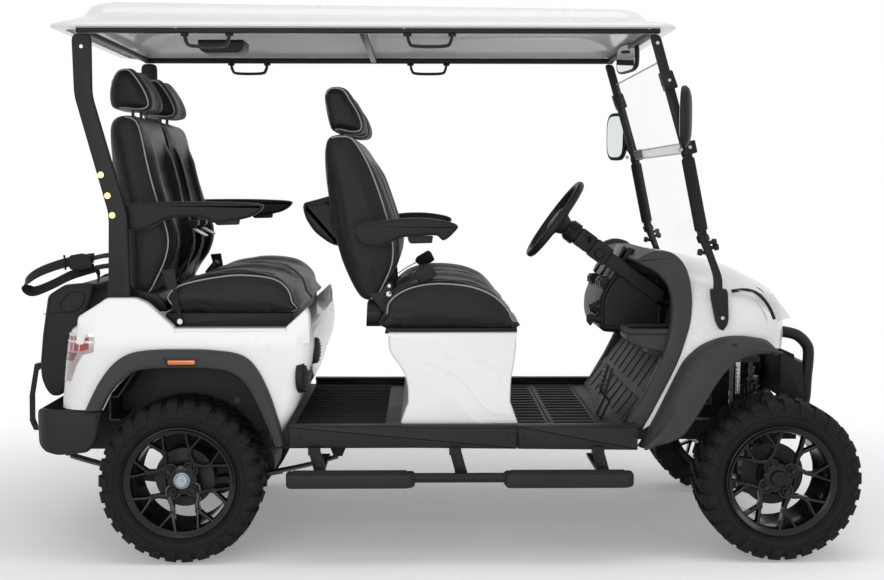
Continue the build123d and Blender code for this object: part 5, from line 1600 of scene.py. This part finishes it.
def lamp_shape(outline, grow, depth):
    """A solid under the body's rear corners, cut to an outline seen from the side."""
    made = bmesh.new()
    for side in SIDES:
        add_slab(made, outline, side * 470, side * 615)
    lamp = raw_object("lamp", made)
    shell = [(z, rear_x - grow, front_x, half + grow, corner)
             for z, rear_x, front_x, half, corner in BODY_HALF_LEVELS]
    carve(lamp, [body_plan(shell)], "INTERSECT")
    hollow = [(z, rear_x + depth, front_x + 50, half - depth, corner)
              for z, rear_x, front_x, half, corner in shell]
    carve(lamp, [body_plan(hollow)])
    return lamp


def make_tail_lamps():
    whole = [(-460, 806), (-294, 806), (-297, 744), (-337, 735), (-362, 696), (-384, 640), (-460, 634)]
    dress(lamp_shape(round_corners(whole, 6, 3), 2.0, 4.0), PINK_LENS, smooth=35, bevel=0.8,
          replaces=("tail_lamps",), slot="tail_lens")
    upper = [(-392, 796), (-312, 796), (-314, 754), (-345, 748), (-388, 748)]
    lower = [(-402, 742), (-356, 740), (-376, 712), (-404, 712)]
    for outline, material in ((upper, RED), (lower, RED_DARK)):
        dress(lamp_shape(round_corners(outline, 3, 3), 3.0, 3.5), material, smooth=35, slot="tail_lens")
    rim = [(-460, 808), (-292, 808), (-293, 799), (-460, 799)]
    band = [(-460, 784), (-293, 784), (-293, 776), (-460, 776)]
    uprights = [[(x - 2, 797), (x + 2, 797), (x - 3, 750), (x - 7, 750)] for x in (-368, -344)]
    for outline, grow in ((rim, 3.6), (band, 3.6), (uprights[0], 4.0), (uprights[1], 4.0)):
        dress(lamp_shape(outline, grow, 4.0), LAMP_TRIM, smooth=35, slot="tail_lens")


def make_rear_bumper():
    outline = [(-500, 541), (-515, 520), (-512, 470), (-508, 418), (-480, 394), (-434, 379), (-328, 388),
               (-296, 425), (-284, 490), (-274, 536)]
    bumper = raw_object("rear_bumper_skin", slab(outline, -600, 600, 16, 4, edge=14, steps=5))
    carve(bumper, [body_plan([(z, -518, -200, 601, 92) for z in (350, 640)])], "INTERSECT")
    carve(bumper, [body_plan([(z, -497, -150, 580, 70) for z in (330, 650)])])
    dress(bumper, SILL, smooth=40, bevel=2, replaces=("rear_bumper",), slot="black_plastic")


def make_speakers():
    """Round grilles and locks on the right half of the rear body's front face."""
    rims, cones, chrome = new_meshes(3)
    side = -1
    for x, y, z, radius, lean in ((459, 500, 738, 50, 0.10), (424, 556, 655, 62, 0.20)):
        way = Vector((1, side * lean, 0)).normalized()
        across = Vector(UP).cross(way).normalized()
        centre = at_rear(x, side * y, z)
        add_disc(rims, centre - way * 8 * MM, way, radius, 24, 48, radius - 5)
        add_disc(cones, centre + way * 14 * MM, way, radius - 7, 7, 40, radius - 20)
        # bars of the grille, 12 mm apart
        for k in range(-3, 4):
            reach = math.sqrt(max(0, (radius - 10) ** 2 - (k * 12) ** 2))
            middle = centre + way * 20 * MM + Vector((0, 0, k * 12 * MM))
            ends = [middle + across * (s * reach * MM) for s in (-1, 1)]
            add_tube(rims, ends, 2.2, 6)
    for x, y, radius, depth, top, sides in ((426, 566, 12, 16, 11, 28), (441, 570, 8, 4, 8, 24)):
        add_disc(chrome, at_rear(x, side * y, 724), (1, side * 0.3, 0), radius, depth, sides, top)
    add_piece("speaker_rims", rims, BLACK, smooth=40, bevel=0.8, slot="black_plastic")
    add_piece("speaker_cones", cones, WEBBING, smooth=40, slot="black_plastic")
    add_piece("seat_locks", chrome, STEEL, smooth=40, slot="black_plastic")


# ---- sills, steps, floor and seat box ------------------------------------------------------------


def in_plan(x, z, y):
    """For slabs that lie flat: their outline is (x, y) and they reach from one z to another."""
    return at_rear(x, y, z)


def make_steps():
    bars, pads, bolts = new_meshes(3)
    pad_top = 329
    for side in SIDES:
        for x0, x1 in ((370, 822), (1130, 1584)):
            shape = [(x0, side * 626), (x0 + 6, side * 682), (x0 + 22, side * 690), (x1 - 26, side * 690),
                     (x1, side * 668), (x1, side * 618), (x0 + 10, side * 614)]
            add_slab(pads, shape, 277, pad_top, 14, 4, edge=13, steps=4, place=in_plan)
            for k in range(5):
                y = side * (626 + 12 * k)
                add_tube(pads, [at_rear(x0 + 26, y, pad_top), at_rear(x1 - 30, y, pad_top)], 2.4, 6)
        add_tube(bars, [at_rear(x, side * 652, 309) for x in (400, 1560)], 17, 20)
        add_tube(bars, [at_rear(x, side * 622, 306) for x in (800, 1150)], 13, 16)
        for x in (462, 955, 1456):
            leg = [(x - 16, 404), (x + 26, 404), (x + 50, 318), (x + 8, 318)]
            add_slab(bars, leg, side * 606, side * 618, 4, 3, edge=2)
            arm = [(x + 6, side * 300), (x + 6, side * 650), (x + 40, side * 650), (x + 40, side * 300)]
            add_slab(bars, arm, 313, 324, edge=1, place=in_plan)
            add_box(bars, at_rear(x - 14, side * 600, 384), at_rear(x + 28, side * 628, 410))
            for z in (352, 378):
                side_disc(bolts, side, x + 26 - (z - 352) * 0.3, 618, z, 7, 5, 6)
    add_piece("step_bars", bars, POWDER, smooth=45, bevel=1, replaces=("side_steps",), slot="black_steel")
    add_piece("step_pads", pads, MAT, smooth=50, slot="black_steel")
    add_piece("step_bolts", bolts, STEEL_DARK, smooth=35, slot="black_steel")


def make_sills():
    skin, screws = new_meshes(2)
    rear_x, front_x, face = 378, 1604, 612

    def foot(x):
        return 411 - 15 * (x - rear_x) / (front_x - rear_x)

    for side in SIDES:
        for x0, x1 in ((rear_x, 1179), (1182, front_x)):
            outline = [(x0, foot(x0)), (x1, foot(x1)), (x1, 480), (x0, 484)]
            add_slab(skin, outline, side * 586, side * face, 3, 3, edge=5)
        top = [(x, side * y) for x, y in ((rear_x, 560), (front_x, 560), (front_x, 600), (rear_x, 600))]
        add_slab(skin, top, 476, 484, edge=2, place=in_plan)
        for x in (748, 1204, 1596, 420, 1150):
            side_disc(screws, side, x, face, 446, 8, 1.2, 24, 7)
        for x in (748, 1204, 1596):
            side_disc(screws, side, x, face + 0.4, 446, 3, 1.6, 6)
    add_piece("sill_skins", skin, SILL, smooth=45, replaces=("sills",), slot="dark_plastic")
    add_piece("sill_screws", screws, BLACK, smooth=40, slot="dark_plastic")


def make_mats():
    """Ribbed mat behind the front seat, patterned mat and toe board before it."""
    bm = bmesh.new()
    for k in range(28):
        y = -540 + 40 * k
        add_tube(bm, [at_rear(385, y, 454.5), at_rear(712, y, 454.5)], 5, 8)
    for k in range(17):
        y = -520 + 65 * k
        for x0, x1 in ((1200, 1300), (1330, 1480)):
            add_tube(bm, [at_rear(x0, y, 456), at_rear(x1, y, 456)], 4, 6)
    for x in (1315, 1495):
        across_tube(bm, x, 456, 545, 4, 6)
    # pattern on the sloping toe board
    foot, top = Vector((1543, 456)), Vector((1733, 702))
    for k in range(9):
        y = -480 + 120 * k
        for start, stop, shift in ((0.10, 0.42, 0), (0.52, 0.92, 30)):
            ends = [foot.lerp(top, start), foot.lerp(top, stop)]
            path = [at_rear(ends[0].x, y, ends[0].y), at_rear(ends[1].x, y + shift, ends[1].y)]
            add_tube(bm, path, 3, 6)
            path = [at_rear(ends[1].x, y + shift, ends[1].y), at_rear(ends[1].x, y + shift + 60, ends[1].y)]
            add_tube(bm, path, 3, 6)
    add_piece("mat_ribs", bm, MAT, smooth=60, slot="mat")


def make_seat_box():
    """White base of the front seats with its sculpted sides."""
    outline = [(728, 806), (730, 752), (745, 720), (768, 688), (786, 655), (794, 620), (797, 560), (797, 458),
               (1158, 458), (1159, 560), (1162, 640), (1172, 700), (1179, 760), (1180, 806)]
    curve = smooth_path(outline[:-1], 3)[:-1] + outline[-1:]
    base = raw_object("seat_box_shell", slab(curve, -560, 560, edge=9, steps=4))
    hollow = [(815, 440), (815, 640), (760, 740), (750, 792), (1160, 792), (1150, 640), (1140, 440)]
    # scooped hollow that runs forward from the top of each side
    wave = [(846, 700), (900, 690), (985, 640), (1050, 560), (1100, 520), (1185, 505), (1185, 470),
            (1075, 478), (1010, 520), (950, 590), (890, 650), (846, 672)]
    scoop = smooth_path(wave, 3, closed=True)
    carve(base, [slab(hollow, -543, 543)] + [slab(scoop, side * 556.5, side * 590) for side in SIDES])
    dress(base, WHITE, smooth=35, bevel=3, replaces=("seat_box",), slot="white_body")


# ---- roof frame, handles, nose and springs -------------------------------------------------------


def make_roof_frame():
    rails, grips, clips = new_meshes(3)
    for side in SIDES:
        rail = [(-343, 1847), (1672, 1847), (1672, 1869), (-343, 1869)]
        add_slab(rails, rail, side * 545, side * 576, 6, 3, edge=5)
        for x0, x1 in ((28, 182), (797, 952)):
            loop = [(x0, 1845), (x0 + 6, 1818), (x0 + 26, 1804), (x1 - 26, 1804), (x1 - 6, 1818), (x1, 1845)]
            add_ribbon(grips, on_side(smooth_path(loop, 4), side * 556), ACROSS, 22, 9)
            for x in (x0, x1):
                add_disc(grips, at_rear(x, side * 556, 1838), UP, 14, 8.5, 20)
        for x in (1, 786, 1633):
            for lean in (-9, 9):
                add_tube(clips, on_side([(x, 1861), (x + lean, 1872)], side * 577), 2.5, 8)
    for x in (-330, 640, 1655):
        cross = [(x - 12, 1849), (x + 12, 1849), (x + 12, 1868), (x - 12, 1868)]
        add_slab(rails, cross, -560, 560, 4, 3, edge=2)
    # overhead pod with a rounded belly, on the right only
    pod = [(40, 1846), (46, 1812), (64, 1800), (186, 1800), (204, 1812), (210, 1846)]
    add_slab(grips, pod, -380, -230, 10, 4, edge=8)
    add_piece("roof_rails", rails, POWDER, smooth=45, replaces=("roof_frame",), slot="black_steel")
    add_piece("roof_grips", grips, BLACK, smooth=60, bevel=1, replaces=("roof_handles",),
              slot="black_plastic")
    add_piece("roof_clips", clips, STEEL, smooth=60, slot="black_steel")


FRONT_SHOCK = (-42, 305, 205, 669)  # x from the front axle, y, foot and head


def make_shocks():
    """Coil-over units at the front, with round wire."""
    coils, bodies, fittings = new_meshes(3)
    for side in SIDES:
        x, y, low, high = FRONT_SHOCK
        turns, wire = 9, 5.5
        path = []
        for k in range(turns * 20 + 1):
            a = 2 * math.pi * k / 20
            z = low + 40 + (high - low - 110) * k / (turns * 20)
            path.append(at_front(x + 27 * math.cos(a), side * y + 27 * math.sin(a), z))
        add_tube(coils, path, wire, 8)
        add_disc(bodies, at_front(x, side * y, low), UP, 16, high - low, 24)
        for z, radius, deep in ((low + 28, 34, 10), (high - 66, 34, 12), (high - 40, 22, 20), (low, 20, 14)):
            add_disc(bodies, at_front(x, side * y, z), UP, radius, deep, 32)
        for k in range(7):
            add_disc(fittings, at_front(x - 44, side * (y + 8), 560 + 14 * k), UP, 9, 6, 20)
        add_box(fittings, at_front(x - 52, side * (y + 4), 548), at_front(x - 36, side * (y + 12), 668))
        add_disc(fittings, at_front(x, side * y, high - 22), UP, 8, 20, 6)
    add_piece("shock_coils", coils, BLACK, smooth=180, replaces=("shocks",), slot="black_steel")
    add_piece("shock_bodies", bodies, STEEL_DARK, smooth=40, slot="black_steel")
    add_piece("shock_fittings", fittings, STEEL, smooth=40, slot="black_steel")


def make_nose():
    """Bull bar with its side flaps and front sheet."""
    bars, plate = new_meshes(2)
    for side in SIDES:
        line = [(2196, 778), (2253, 764), (2290, 730), (2300, 693), (2294, 600), (2288, 516), (2262, 470),
                (2190, 440)]
        add_tube(bars, on_side(smooth_path(line, 5), side * 268), 21, 20)
        flap = [(2190, 705), (2275, 655), (2284, 516), (2190, 516)]
        add_slab(plate, flap, side * 280, side * 288, 6, 3, edge=2)
    for x, z in ((2296, 640), (2287, 515)):
        across_tube(bars, x, z, 268, 17, 20)
    sheet = [(2240, 690), (2248, 690), (2268, 560), (2256, 500), (2248, 500), (2260, 560)]
    add_slab(plate, sheet, -262, 262, edge=2)
    add_piece("bull_bar", bars, POWDER, smooth=60, replaces=("front_bumper",), slot="black_steel")
    add_piece("nose_plate", plate, BLACK, smooth=40, bevel=1, slot="black_steel")


def make_arch_walls():
    """Dark inner walls in the rear arches and a plug in each."""
    walls, plugs = new_meshes(2)
    for side in SIDES:
        wall = [(-420, 425), (-420, 640), (-330, 690), (250, 690), (330, 600), (345, 425)]
        add_slab(walls, wall, side * 386, side * 392, 20, 3, edge=1)
        side_disc(plugs, side, 198, 576, 572, 15, 4, 28, 12)
    add_piece("arch_walls", walls, BLACK, smooth=30, slot="black_plastic")
    add_piece("arch_plugs", plugs, BLACK, smooth=40, slot="black_plastic")


def make_head_lamp_trims():
    trims = bmesh.new()
    line = smooth_path([(1968, 958), (2020, 962), (2064, 946), (2100, 905), (2122, 858)], 5)
    for side in SIDES:
        for y in (452, 530):
            back = y - 452
            add_tube(trims, [at_rear(x - back * 0.30, side * y, z - back * 0.10) for x, z in line], 6, 10)
    add_piece("head_lamp_trims", trims, BLACK, smooth=180, slot="lamp_lens")


make_rear_box()
make_strap()
make_tail_lamps()
make_rear_bumper()
make_speakers()
make_steps()
make_sills()
make_mats()
make_seat_box()
make_roof_frame()
make_shocks()
make_nose()
make_arch_walls()
make_head_lamp_trims()


# ---- camera, light and floor ---------------------------------------------------------------------


def aim(obj, place, target):
    obj.location = place
    obj.rotation_euler = (Vector(target) - Vector(place)).to_track_quat("-Z", "Y").to_euler()


def make_camera():
    """The camera fitted to the photograph."""
    photo_width, focal_length, sensor = 884, 1317.2, 36.0  # pixels, pixels, mm
    yaw, pitch = math.radians(0.828), math.radians(4.483)
    data = bpy.data.cameras.new("camera")
    camera = bpy.data.objects.new("camera", data)
    bpy.context.scene.collection.objects.link(camera)
    data.sensor_width = sensor
    data.lens = sensor * focal_length / photo_width
    data.clip_end = 100.0
    place = at_rear(850, -5171, 1319)
    look = Vector((math.sin(yaw) * math.cos(pitch), math.cos(yaw) * math.cos(pitch), -math.sin(pitch)))
    aim(camera, place, place + look)
    bpy.context.scene.camera = camera


def area_light(name, place, target, size, power):
    data = bpy.data.lights.new(name, "AREA")
    data.shape = "RECTANGLE"
    data.size, data.size_y = size
    data.energy = power
    lamp = bpy.data.objects.new(name, data)
    lamp.visible_camera = False
    lamp.visible_glossy = name != "low_fill"
    bpy.context.scene.collection.objects.link(lamp)
    aim(lamp, place, target)


def shown_mix(tree, plain, shown):
    """Sends camera, glossy and transmission rays to one shader and all others to another."""
    path = add_node(tree, "LightPath").outputs
    seen = path["Is Camera Ray"]
    for ray in ("Is Glossy Ray", "Is Transmission Ray"):
        seen = add_node(tree, "Math", {0: seen, 1: path[ray]}, operation="MAXIMUM").outputs["Value"]
    return add_node(tree, "MixShader", {"Fac": seen, 1: plain, 2: shown}).outputs["Shader"]


def make_world():
    """White to the camera, and a weaker white as light."""
    world = bpy.data.worlds.new("studio")
    bpy.context.scene.world = world
    world.use_nodes = True
    tree = world.node_tree
    back = tree.nodes["Background"]
    feed(tree, back, {"Color": (1, 1, 1, 1), "Strength": 0.38})
    seen = add_node(tree, "Background", {"Color": (1, 1, 1, 1), "Strength": 1.0})
    both = shown_mix(tree, back.outputs["Background"], seen.outputs["Background"])
    feed(tree, tree.nodes["World Output"], {"Surface": both})


def make_floor():
    """A floor that takes the shadow near the cart and fades to plain white round it."""
    bm = bmesh.new()
    bmesh.ops.create_grid(bm, x_segments=2, y_segments=2, size=40)
    floor = plain_object("floor_plane", bm)
    mat, tree, shader = new_material("pale_floor")
    feed(tree, shader, {"Base Color": (0.84, 0.84, 0.845, 1), "Roughness": 0.8})
    matte = add_node(tree, "BsdfDiffuse", {"Color": (0.97, 0.97, 0.975, 1)})
    glow = add_node(tree, "Emission", {"Strength": 0.22})
    near = add_node(tree, "AddShader", {0: matte.outputs["BSDF"], 1: glow.outputs["Emission"]})
    white = add_node(tree, "Emission", {"Strength": 1.0})
    place = add_node(tree, "TexCoord").outputs["Object"]
    length = add_node(tree, "VectorMath", {0: place}, operation="LENGTH")
    fade = add_node(tree, "MapRange", {"From Min": 1.5, "From Max": 3.4, "Value": length.outputs["Value"]},
                    interpolation_type="SMOOTHSTEP")
    seen = add_node(tree, "MixShader", {
        "Fac": fade.outputs["Result"], 1: near.outputs["Shader"], 2: white.outputs["Emission"]})
    both = shown_mix(tree, shader.outputs["BSDF"], seen.outputs["Shader"])
    feed(tree, tree.nodes["Material Output"], {"Surface": both})
    floor.data.materials.append(mat)


def make_studio():
    centre = Vector((0, 0, 1.0))
    area_light("top_soft", (0.2, -1.0, 5.2), (0, 0, 0.8), (5.0, 3.0), 72)
    area_light("side_soft", (-1.4, -5.6, 1.6), centre, (5.0, 2.4), 84)
    area_light("front_soft", (4.6, -1.8, 2.2), centre, (2.0, 2.0), 26)
    area_light("low_fill", (0.1, -2.6, 0.15), (0.1, 0.0, 1.9), (3.4, 0.5), 12)
    make_world()
    make_floor()


make_camera()
make_studio()
scene = bpy.context.scene
scene.view_settings.view_transform = "Standard"
